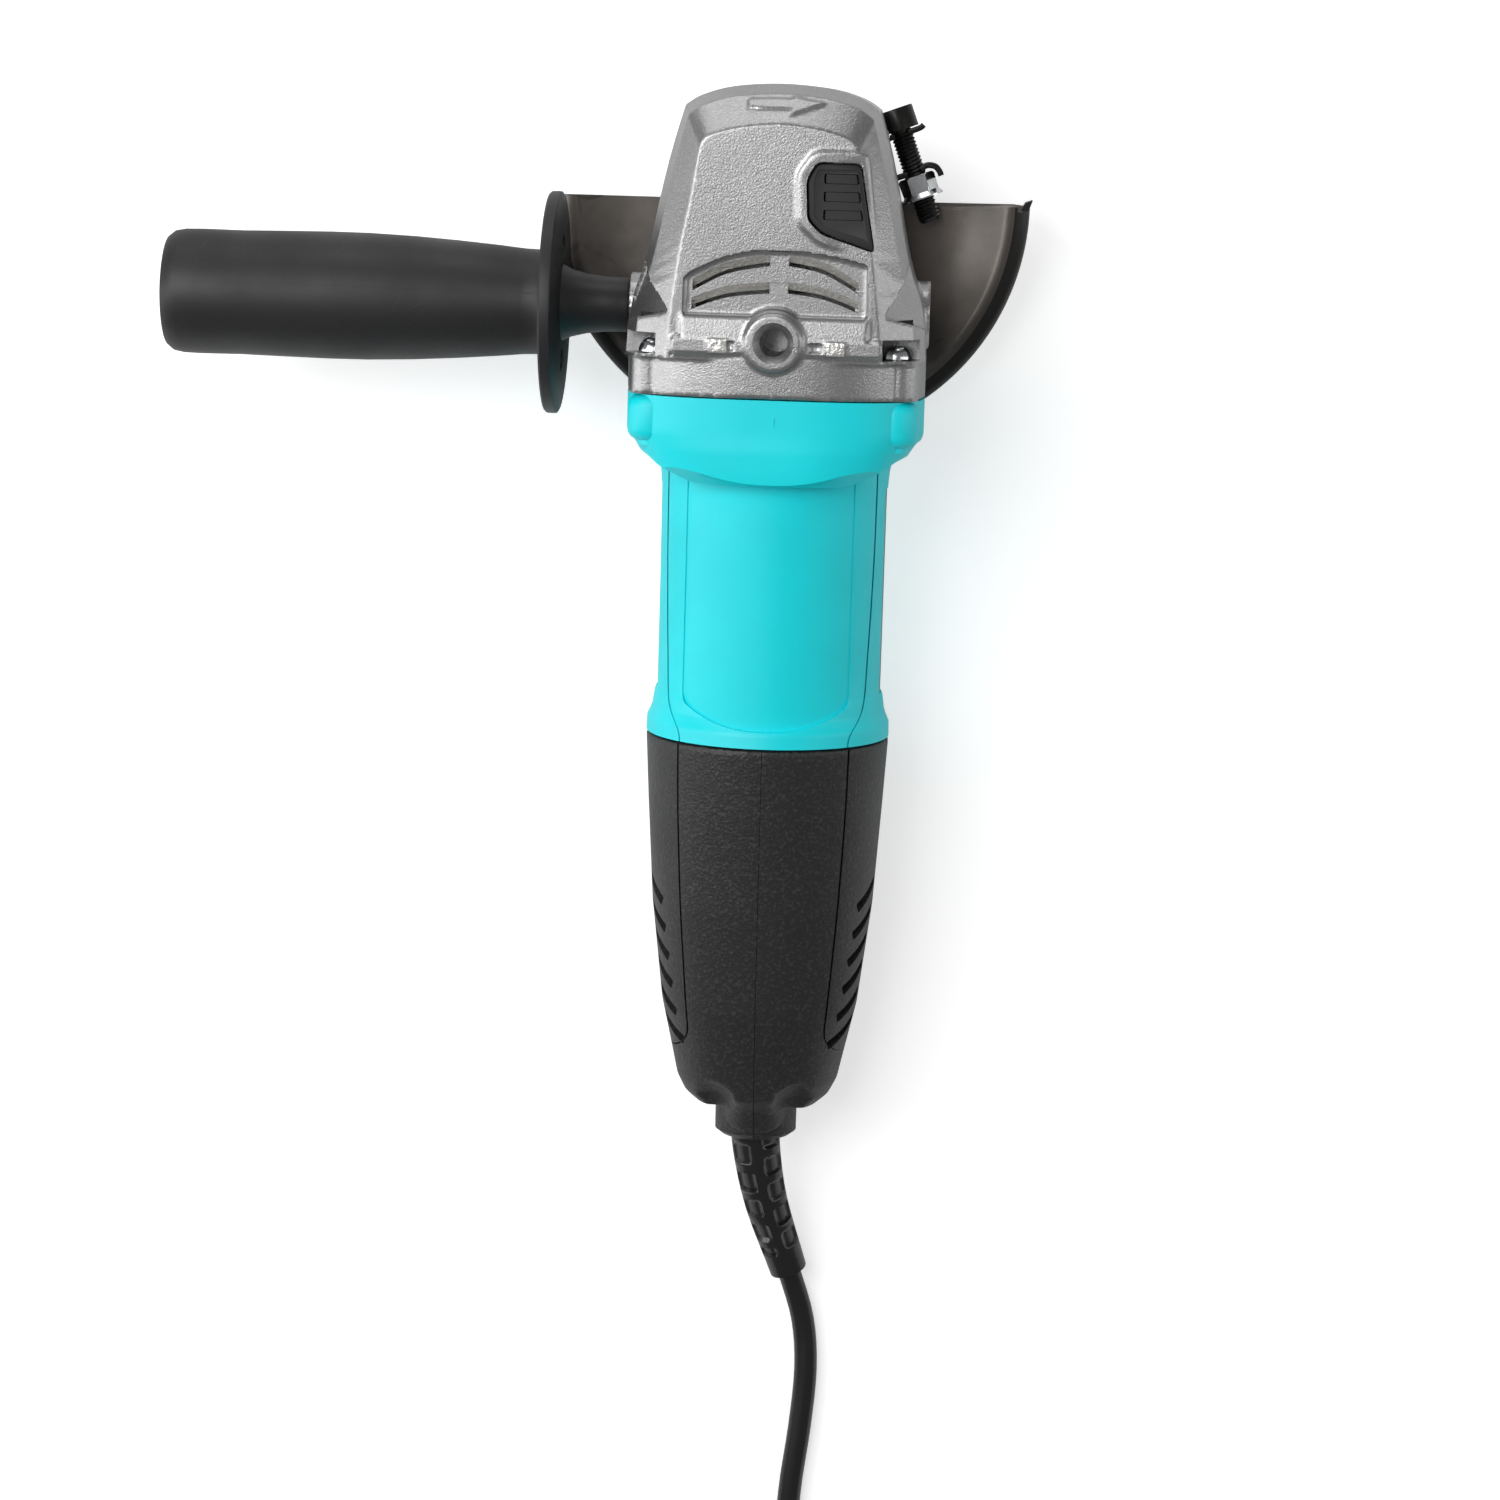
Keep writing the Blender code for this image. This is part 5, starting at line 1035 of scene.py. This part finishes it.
for side in (-1, 1):
    trail = [(side * x, y) for x, y in arc(SIDE_LINE)]
    groove = plate("side_line", ribbon(trail, 0.17), 10, 40)
    carve(housing, skin_deep(groove, [*stations[4:], (-140.0, *stations[-1][1:])], 0.5))
    shoulder = pin("screw_column", 6.3, -59.5, SHELL_START, "Y", (side * 30.6, 24.8), 48)
    weld(housing, soften(shoulder, 3.0, 4, 60))
for side in (-1, 1):
    field = sorted((side * 28.95, side * 40))
    carve(housing, block("label_field", field, (-125.6, -72.0), (-11.5, 10.5)))
for x, y, top in ((0.6, -53.0, 37.25), (-0.8, -62.6, 37.15)):
    mark = [(x - 0.12, y - 0.9), (x + 0.12, y - 0.9), (x + 0.2, y + 0.9), (x - 0.2, y + 0.9)]
    weld(housing, prism("mould_mark", mark, 30, lambda x, y: top))

# %% The shell's inside, with its screw posts, bearing web and slider window
INNER = 2.6
inner_rows = [(-47.0, *FLARE), (-57.2, *FLARE), (-60.8, 33.6, 33.4, -29.0, 2.6)]
inner_rows += [(-64.8, 29.8, 30.0, -BARREL, 2.1), (-69.8, BARREL, BARREL, -BARREL, 2.0)]
inner_rows += [(-127.5, BARREL, BARREL, -BARREL, 2.0), (-131.0, 29.6, 29.6, -29.6, 2.0)]
inner_rows += [(-135.0, *TAIL_ROUND), (-138.0, *TAIL_ROUND)]
carve(housing, lofted("hollow", shrunk(inner_rows, INNER)))
for x, z in spots:
    weld(housing, pin("post", 3.4, SHELL_START - 12.8, SHELL_START - 0.4, "Y", (x, z)))
    carve(housing, pin("post_hole", 2.2, SHELL_START - 12.3, SHELL_START + 1, "Y", (x, z)))
SEAT = 11.3
web = [(SEAT, -144.8), (SEAT + 2.5, -144.8), (SEAT + 2.5, -134.5), (SEAT, -134.5)]
weld(housing, turned("bearing_web", web, "Y"))
for k in range(4):
    spoke = turn(block("spoke", (SEAT + 1, 30.2), (-136.6, -134.7), (-3, 3)), 45 + 90 * k, "Y")
    weld(housing, spoke)
carve(housing, block("slider_window", (-3.2, 3.2), (-112.4, -97.6), (-33, -24.5)))
finished(housing, "base", cyan, ["motor_housing"], smooth=28)

# %% Side labels: thin foil, bent over the barrel's sides, without any print
FOIL_IN, FOIL_OUT, FOIL_REAR, FOIL_FRONT = 29.0, 29.18, -125.0, -72.6
foil = [(FOIL_IN, FOIL_REAR), (FOIL_OUT, FOIL_REAR), (FOIL_OUT, FOIL_FRONT), (FOIL_IN, FOIL_FRONT)]
for side, name in ((-1, "left"), (1, "right")):
    rows = []
    for k in range(13):
        a = math.radians(-20.0 + 37.5 * k / 12)
        rows.append([(side * r * math.cos(a), y, r * math.sin(a)) for r, y in foil])
    label = wrapped(f"side_label_{name}", rows)
    if side > 0:
        in_edit_mode(label, (bpy.ops.mesh.normals_make_consistent, {"inside": False}))
    finished(label, "base", label_grey)

# %% [markdown]
# ## The tail
# Two mirrored half shells of grained black plastic meet in the middle plane. Each is the same loft, cut
# at the middle. Flat facets with a groove run down the sides to slanted air slots, and the rear end dips
# between two round lobes where the cord's sleeve leaves.

# %% The whole tail, before it is cut in two
TAIL = [(TAIL_SEAM - 0.3, *TAIL_ROUND), (-155.0, 30.8, 30.4, -30.6, 2.1), (-182.0, 29.1, 28.0, -29.2, 2.2)]
TAIL += [(-209.0, 25.9, 24.6, -27.0, 2.25), (-222.5, 22.9, 21.4, -24.6, 2.3)]
TAIL += [(-229.5, 21.4, 19.8, -23.0, 2.3), (-233.5, 19.4, 17.8, -20.6, 2.3), (-236.5, 16.0, 14.4, -16.6, 2.3)]
whole = lofted("tail", finer(TAIL[:5], 6) + TAIL[5:])
egg = [(0, -9), (3.6, -8.2), (6.2, -5), (7.2, 0), (6.2, 5), (3.6, 8.2), (0, 9)]
for side in (-1, 1):
    dimple = turned("dimple", egg, steps=48)
    carve(whole, moved(dimple, side * 11.6, -236.4, 17.6, Matrix.Rotation(math.radians(-52), 4, "X")))
saddle = turned("saddle", [(0, -3), (10.8, -3), (10.8, 9.5), (0, 9.5)], "Y", steps=64)
weld(whole, moved(saddle, 0, -238))
spine = turned("spine", [(0, 0), (8.2, 0), (7.8, 9), (6.0, 16), (0, 18)], "Y", steps=48)
weld(whole, moved(spine, 0, -240.5, 4.6, Matrix.Rotation(math.radians(22), 4, "X")))
recast(whole, 0.75, 4)
boss = [(0, -235), (10.8, -235), (10.8, -244.4), (9.2, -245.6), (0, -245.6)]
weld(whole, turned("cord_boss", boss, "Y", steps=96))
print(len(whole.data.polygons), "faces in the tail")

# %% Grooves and facets of the tail
TAIL_LINE = [(22.0, -136.5), (21.6, -155.0), (20.4, -180.0), (18.6, -205.0)]
TAIL_HOOK = [(17.9, -213.0), (18.4, -216.6), (21.6, -220.2), (27.5, -222.6)]
for side in (-1, 1):
    trail = [(side * x, y) for x, y in arc(TAIL_LINE) + arc(TAIL_HOOK)]
    groove = plate("tail_line", ribbon(trail, 0.22, 0.15), 2, 40)
    carve(whole, skin_deep(groove, [(-130.0, *TAIL[0][1:]), *TAIL[:6]], 0.8))
carve(whole, lofted("hollow", shrunk([(TAIL_SEAM + 0.7, *TAIL_ROUND), *TAIL[1:6]], INNER)))
for name, radius, low, high in (("sleeve_bore", 7.0, -247, -228.5), ("sleeve_groove", 9.4, -240.2, -236.8)):
    carve(whole, pin(name, radius, low, high, "Y", steps=64))
AIR_SLOTS, SLOT_FIRST, SLOT_PITCH, SLOT_HALF, SLOT_TILT = 6, -178.0, 7.4, 1.4, 28
for side in (-1, 1):
    for k in range(AIR_SLOTS):
        y = SLOT_FIRST - SLOT_PITCH * k
        slot = block("air_slot", sorted((side * 14, side * 40)), (y - SLOT_HALF, y + SLOT_HALF), (3.2, 15.6))
        carve(whole, turn(soften(slot, 0.5, 2, 60), SLOT_TILT, "X", (0, y, 9.5)))

# %% The two halves
COVER_SCREWS = [((-143.6, 21.5), 15.0, 9.0), ((-200.0, -18.0), 16.0, 11.0)]  # (y, z), post's end, head's seat
for side, name in ((-1, "left"), (1, "right")):
    only(whole)
    bpy.ops.object.duplicate()
    half = bpy.context.object
    half.name = f"tail_half_{name}"

    def across(low, high, y, z):
        return block("inner", sorted((side * low, side * high)), y, z)

    for (y, z), post_end, _ in COVER_SCREWS:
        weld(half, pin("post", 4.6, *sorted((0, side * post_end)), "X", (y, z)))
    weld(half, across(12.3, 27, (-168.85, -160.85), (-14, -8)))
    weld(half, across(0, 20.5, (-224.5, -217.5), (-9.4, -3.4)))
    if side > 0:
        carve(half, pin("clamp_hole", 1.8, -8.4, -2.4, at=(6.6, -221)))
    for (y, z), _, head_seat in COVER_SCREWS:
        depth = head_seat + 1 if side > 0 else 14.6
        carve(half, pin("post_hole", 1.9, *sorted((-side, side * depth)), "X", (y, z)))
        if side > 0:
            # the front one ends inside the shell's wall, under a flush skin
            carve(half, pin("head_seat", 3.5, head_seat, 12.0 if z > 0 else 40, "X", (y, z)))
    carve(half, across(-60, 0.06, (-252, -130), (-60, 60)))
    finished(half, "base", black, [f"rear_cover_{name}"], smooth=30)
bpy.data.objects.remove(whole)

# %% [markdown]
# ## The side handle
# A turned grip: a stem that screws against the head, a thin round flange that keeps a hand back, a waist
# and a long slightly barrelled grip with a rounded end. The mould's parting line runs along it, and the
# flange has one hole through it.

# %% The grip
grip_line = [(5.2, -38.9), (6.6, -38.9), (7.0, -39.6), (7.1, -45.0), (7.7, -50.0), (8.7, -54.0), (9.8, -56.2)]
grip_line += [(28.0, -56.9), (28.5, -57.2), (28.6, -58.0), (28.5, -59.6), (28.0, -60.1), (16.5, -60.5)]
grip_line += [(14.2, -61.2), (13.5, -62.6), (13.6, -66.0), (14.3, -73.0), (15.2, -84.0), (15.9, -95.0)]
grip_line += [(16.35, -107.0), (16.4, -117.0), (16.2, -130.0), (16.0, -140.0), (16.1, -150.0)]
grip_line += [(16.0, -154.6), (15.5, -157.2), (14.2, -158.8), (12.0, -159.2)]
grip_line += [(0, -159.2), (0, -75.3), (4.3, -75.3), (4.3, -38.9)]
grip = moved(turned("side_handle", grip_line, "X", steps=128), 0, HANDLE_Y)
for y in (-41.6, -12.4):
    carve(grip, pin("flange_hole", 3.2, -62, -55, "X", (y, 0)))
held_part = grip_line[14:27]
strip_line = [(x, r + 0.06) for r, x in held_part] + [(x, r - 0.4) for r, x in held_part[::-1]]
for turned_by in (-12, 168):
    strip = turn(plate("parting_line", strip_line, -0.14, 0.14, "Y"), turned_by, "X")
    weld(grip, moved(strip, 0, HANDLE_Y))
end_dish = turned("end_dish", [(0, -159.6), (9.0, -159.6), (8.6, -158.7), (0, -158.5)], "X", steps=64)
carve(grip, moved(end_dish, 0, HANDLE_Y))
finished(grip, "base", handle_black, ["side_handle_grip"], smooth=32)

# %% [markdown]
# ## The disc guard
# Pressed sheet steel: half a disc with its rim folded down, welded to a band that a screw clamps round
# the head's neck. The rim's edge is rolled slightly, and the straight edge has a small bent lip.

# %% The guard's sheet
GUARD_RADIUS, SHEET, PLATE_TOP, RIM_LOW, FOLD, NECK = 64.0, 1.5, -33.0, -51.0, 3.6, 25.3
FLAT_END = GUARD_RADIUS - FOLD


def bend(radius):
    """The rim's fold, from the flat sheet outwards and down."""
    turns = [math.radians(90 * (1 - k / 8)) for k in range(1, 9)]
    return [(FLAT_END + radius * math.cos(a), PLATE_TOP - FOLD + radius * math.sin(a)) for a in turns]


sheet_line = [(NECK, PLATE_TOP), (40.0, PLATE_TOP), (FLAT_END - 4.2, PLATE_TOP)]
sheet_line += [(FLAT_END - 3.4, PLATE_TOP + 0.35), (FLAT_END - 0.4, PLATE_TOP + 0.35), *bend(FOLD)]
sheet_line += [(GUARD_RADIUS, -44.0), (GUARD_RADIUS, RIM_LOW + 0.4), (GUARD_RADIUS - 0.4, RIM_LOW)]
sheet_line += [(GUARD_RADIUS - SHEET + 0.4, RIM_LOW), (GUARD_RADIUS - SHEET, RIM_LOW + 0.4)]
sheet_line += [*bend(FOLD - SHEET)[::-1], (FLAT_END, PLATE_TOP - SHEET)]
sheet_line += [(40.0, PLATE_TOP - SHEET), (NECK, PLATE_TOP - SHEET)]
rings = []
for k in range(97):
    a = math.radians(180 + 180 * k / 96)
    rings.append([(r * math.cos(a), r * math.sin(a), z) for r, z in sheet_line])
guard = wrapped("guard", rings)
lip = [(NECK + 1.0, -1.2), (62.0, -1.2), (62.2, 0.6), (59.5, 0.9), (NECK + 1.0, 0.6)]
weld(guard, prism("edge_lip", lip, PLATE_TOP - SHEET + 0.1, lambda x, y: PLATE_TOP + 0.1))
tab = [(61.4, -0.8), (63.6, -0.8), (64.6, 2.0), (62.8, 1.4)]
weld(guard, prism("bent_tab", tab, PLATE_TOP - 9, lambda x, y: PLATE_TOP + 0.4))
guard.data.materials.clear()
for look in (painted_sheen_guard, black_steel):
    guard.data.materials.append(look)
# the flat upward faces of the plate get the painted reflection; the rim, the lip and the underside keep the
# guard's own black steel
for face in guard.data.polygons:
    x, y, z = face.center
    painted_sheen_face = math.hypot(x, y) < FLAT_END - 0.2 and face.normal.z > 0.5 and y < -0.3
    face.material_index = 0 if painted_sheen_face else 1
finished(guard, "guard", painted_sheen_guard, ["guard_shell"], smooth=30)

# %% [markdown]
# ## The clamp
# The band round the neck ends in two ears. A hexagon-socket screw draws them together against a flanged
# nut. The band is a strip along a path, given thickness and height; the thread is a real helix.

# %% The band
CLAMP_ANGLE, CLAMP_OUT, CLAMP_Z, EAR_FRONT, EAR_REAR = 20.5, 34.0, -27.0, 6.9, -3.5
BAND_LOW, BAND_HIGH = PLATE_TOP + 0.3, PLATE_TOP + 8.7


def at_clamp(piece):
    """Carry a piece made about X, at the origin, onto the clamp screw's axis."""
    turn(piece, 90 + CLAMP_ANGLE, "Z")
    a = math.radians(CLAMP_ANGLE)
    piece.data.transform(Matrix.Translation((CLAMP_OUT * math.cos(a), CLAMP_OUT * math.sin(a), CLAMP_Z)))
    return piece


def strip_outline(path, thickness):
    """Both edges of a strip whose middle follows a path."""
    left, right = [], []
    for i, (x, y) in enumerate(path):
        before, after = Vector(path[max(i - 1, 0)]), Vector(path[min(i + 1, len(path) - 1)])
        way = (after - before).normalized()
        left.append((x - way.y * thickness / 2, y + way.x * thickness / 2))
        right.append((x + way.y * thickness / 2, y - way.x * thickness / 2))
    return left + right[::-1]


middle = NECK + SHEET / 2
start, end = (math.degrees(math.asin(place / middle)) for place in (EAR_FRONT, EAR_REAR))
around = [math.radians(start + (360 + end - start) * k / 112) for k in range(113)]
ear = [(CLAMP_OUT + 6.2, EAR_FRONT + 0.5), (CLAMP_OUT + 4.5, EAR_FRONT), (CLAMP_OUT - 4, EAR_FRONT)]
path = arc(ear, 6) + [(middle * math.cos(a), middle * math.sin(a)) for a in around]
hook = [(CLAMP_OUT - 4, EAR_REAR), (CLAMP_OUT + 1, EAR_REAR), (CLAMP_OUT + 3.6, EAR_REAR + 0.6)]
hook += [(CLAMP_OUT + 5.6, EAR_REAR - 0.3), (CLAMP_OUT + 6.3, EAR_REAR - 1.8)]
path += arc(hook + [(CLAMP_OUT + 6.4, EAR_REAR - 3.1)], 5)
clamp = plate("neck_band", strip_outline(path, SHEET), BAND_LOW, BAND_HIGH)
turn(clamp, CLAMP_ANGLE, "Z")
soften(clamp, 0.25, 2, 60)
carve(clamp, at_clamp(pin("screw_way", 3.3, EAR_REAR - 0.9, EAR_FRONT + 3, "X", steps=48)))
finished(clamp, "guard", black_steel, ["clamp_band"], smooth=35)

# %% The clamp screw with a cut thread
THREAD, PITCH, DEPTH, TIP = 3.0, 1.0, 0.42, -17.0
HEAD_LOW = EAR_FRONT + SHEET / 2 + 0.3
AROUND, STEPS = 48, 10
count = round((HEAD_LOW - TIP - 0.6) / PITCH * STEPS)
rings = [[(TIP - 0.02, y, z) for y, z in circle(AROUND, 1.9)]]
for k in range(count + 1):
    x = TIP + PITCH * k / STEPS
    ring = []
    for n, (c, s) in enumerate(circle(AROUND)):
        phase = (x / PITCH - n / AROUND) % 1
        cut_in = DEPTH * abs(2 * phase - 1)
        radius = min(THREAD - cut_in, 2.2 + (x - TIP) * 0.9)
        ring.append((x, radius * c, radius * s))
    rings.append(ring)
rings.append([(x + 0.5, y, z) for y, z in circle(AROUND, 2.7)])
thread = wrapped("band_screw", rings)
head_line = [(0, HEAD_LOW - 0.9), (2.7, HEAD_LOW - 0.9), (2.7, HEAD_LOW), (5.0, HEAD_LOW)]
head_line += [(5.0, HEAD_LOW + 5.4), (4.9, HEAD_LOW + 5.7), (4.6, HEAD_LOW + 5.8), (0, HEAD_LOW + 5.8)]
weld(thread, turned("cap", head_line, "X", steps=64))
carve(thread, pin("socket", 2.85, HEAD_LOW + 2.8, HEAD_LOW + 7, "X", steps=6))
finished(at_clamp(thread), "guard", black_steel, ["clamp_screw"], smooth=30)

# %% The flanged nut
FACE = EAR_REAR - SHEET / 2 - 0.3
nut = pin("band_nut", 4.9, FACE - 5, FACE, "X", steps=6)
chamfer = [(0, FACE - 6), (4.7, FACE - 6), (4.95, FACE - 0.6), (4.4, FACE + 0.01), (0, FACE + 0.01)]
combine(nut, [turned("chamfer", chamfer, "X", steps=64)], "INTERSECT")
skirt = [(0, FACE - 6.2), (5.5, FACE - 6.2), (5.6, FACE - 5.8), (4.6, FACE - 4.6), (0, FACE - 4.6)]
weld(nut, turned("flange", skirt, "X", steps=64))
carve(nut, pin("nut_bore", 3.25, FACE - 8, FACE + 1, "X", steps=48))
finished(at_clamp(nut), "guard", zinc, ["clamp_nut"], smooth=30)

# %% [markdown]
# ## Below the head
# The bearing box closes the head from below and carries the guard's neck. Under it turn the spindle, the
# inner flange and the lock nut, which would clamp a disc between them. They ride with the spindle.

# %% Bearing box and its countersunk screws
box_top = BASE - 0.3
box_low = box_top - 3.7
half = arc(WALL_FRONT) + arc(WALL_SIDE[:-1] + [(37.2, -29.0)])[1:]
carrier = plate("bearing_carrier", mirrored(half), box_low, box_top)
soften(carrier, 0.7, 3, 50)
weld(carrier, pin("neck", 25.0, -36.3, box_top - 1, steps=128))
for name, radius, low, high in (
    ("bearing_seat", 16.3, -28.0, box_top + 1),
    ("seal_seat", 14.0, -32.1, -27.0),
    ("spindle_way", 11.0, -37.3, -30.8),
):
    carve(carrier, pin(name, radius, low, high, steps=96))
seat_line = [(0, box_low - 1), (4.4, box_low - 1), (4.4, box_low), (2.2, box_low + 2.3)]
seat_line += [(2.2, box_top + 1), (0, box_top + 1)]
for spot in carrier_spots:
    carve(carrier, turned("countersink", seat_line, at=spot, steps=48))
finished(carrier, "base", cast_metal, ["bearing_box"])
for number, (x, y) in enumerate(carrier_spots, 1):
    profile = [(0, box_low + 0.2), (3.8, box_low + 0.2), (1.9, box_low + 2.2), (1.9, -7), (0, -7)]
    screw = turned(f"carrier_screw_{number}", profile, steps=48)
    moved(crossed(screw, 2.0, 0.5, box_low - 1, box_low + 1.4), x, y)
    finished(screw, "base", zinc, [f"bearing_box_screw_{number}"])

# %% Inner flange and lock nut
flange_line = [(7.1, -39.3), (12, -39.3), (12.6, -39.6), (20.2, -41.2), (21, -41.9), (21, -44.7), (20.7, -45)]
flange_line += [(14.0, -45.0), (13.6, -44.7), (11.4, -44.7), (11.1, -45.0), (11.1, -46.0), (10.8, -46.3)]
flange_line += [(7.1, -46.3)]
flange = turned("backing_flange", flange_line, steps=128)
for side in (-1, 1):
    carve(flange, block("spanner_flat", sorted((side * 11.2, side * 12.8)), (-8, 8), (-40.6, -38)))
finished(flange, "spindle_unit", steel, ["inner_flange"])
nut_line = [(7.1, -48.6), (19.7, -48.6), (20, -48.9), (20, -50.8), (19.6, -51.2), (12.9, -51.6)]
nut_line += [(12.4, -52.0), (12.4, -53.8), (12.0, -54.2), (7.6, -54.2), (7.1, -53.7)]
lock_nut = turned("flange_nut", nut_line, steps=128)
for quarter in range(4):
    a = math.tau * (quarter + 0.5) / 4
    carve(lock_nut, pin("spanner_hole", 2.5, -52.6, -47.6, at=(16.2 * math.cos(a), 16.2 * math.sin(a))))
finished(lock_nut, "spindle_unit", black_steel, ["lock_nut"])

# %% [markdown]
# ## The switch slider
# The thumb slider sits under the barrel. It is an oval pad with grip ridges, joined through the shell's
# window to a rod that reaches the switch.

# %% The slider
STEM_FRONT, STEM_REAR, ROD_TOP, ROD_REAR = -104.0, -112.0, -24.7, -149.4
PAD_LOW, PAD_TOP, RIDGES, RIDGE_PITCH = -32.4, -29.6, 5, 3.2
pad = [(-7.5, STEM_REAR - 4), (-6.5, STEM_REAR - 5), (6.5, STEM_REAR - 5), (7.5, STEM_REAR - 4)]
pad += [(7.5, STEM_FRONT + 2), (6.5, STEM_FRONT + 3), (-6.5, STEM_FRONT + 3), (-7.5, STEM_FRONT + 2)]
slider = soften(plate("thumb_slider", pad, PAD_LOW, PAD_TOP), 0.4, 2, 60)
for k in range(RIDGES):
    y = STEM_REAR - 2.4 + RIDGE_PITCH * k
    ridge = block("ridge", (-6.2, 6.2), (y - 0.6, y + 0.6), (PAD_LOW - 0.7, PAD_LOW + 0.4))
    weld(slider, soften(ridge, 0.25, 2, 60))
weld(slider, block("stem", (-2.8, 2.8), (STEM_REAR, STEM_FRONT), (PAD_TOP - 1.0, ROD_TOP - 0.4)))
for name, y, top in (("rod", STEM_FRONT, ROD_TOP), ("finger", ROD_REAR + 2.4, -14)):
    weld(slider, block(name, (-3.5, 3.5), (ROD_REAR, y), (ROD_TOP - 1.4, top)))
finished(slider, "slider", black, ["switch_slider"])

# %% [markdown]
# ## What lies inside
# The motor, the gears, the bearings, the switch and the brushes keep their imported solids: hardly any of
# them can be seen. They get materials by their slots.

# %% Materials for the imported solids
looks_by_name = (
    (sheet_stack, ("armature_core", "stator_core")),
    (copper, ("armature_windings", "commutator", "field_coil")),
    (fan_grey, ("cooling_fan", "air_baffle")),
    (brass, ("brush_holder",)),
    (graphite, ("carbon_brush",)),
    (rubber, ("dust_seal", "rear_bearing_bush")),
    (zinc, ("cord_clamp_screw", "rear_cover_screw_2", "side_handle_stud")),
    (black, ("switch_body", "cord_clamp")),
)
for name, node in frame["nodes"].items():
    look = next((look for look, starts in looks_by_name if name.startswith(starts)), steel)
    node.data.materials.clear()
    node.data.materials.append(look)
print(len(frame["nodes"]), "packed solids painted")
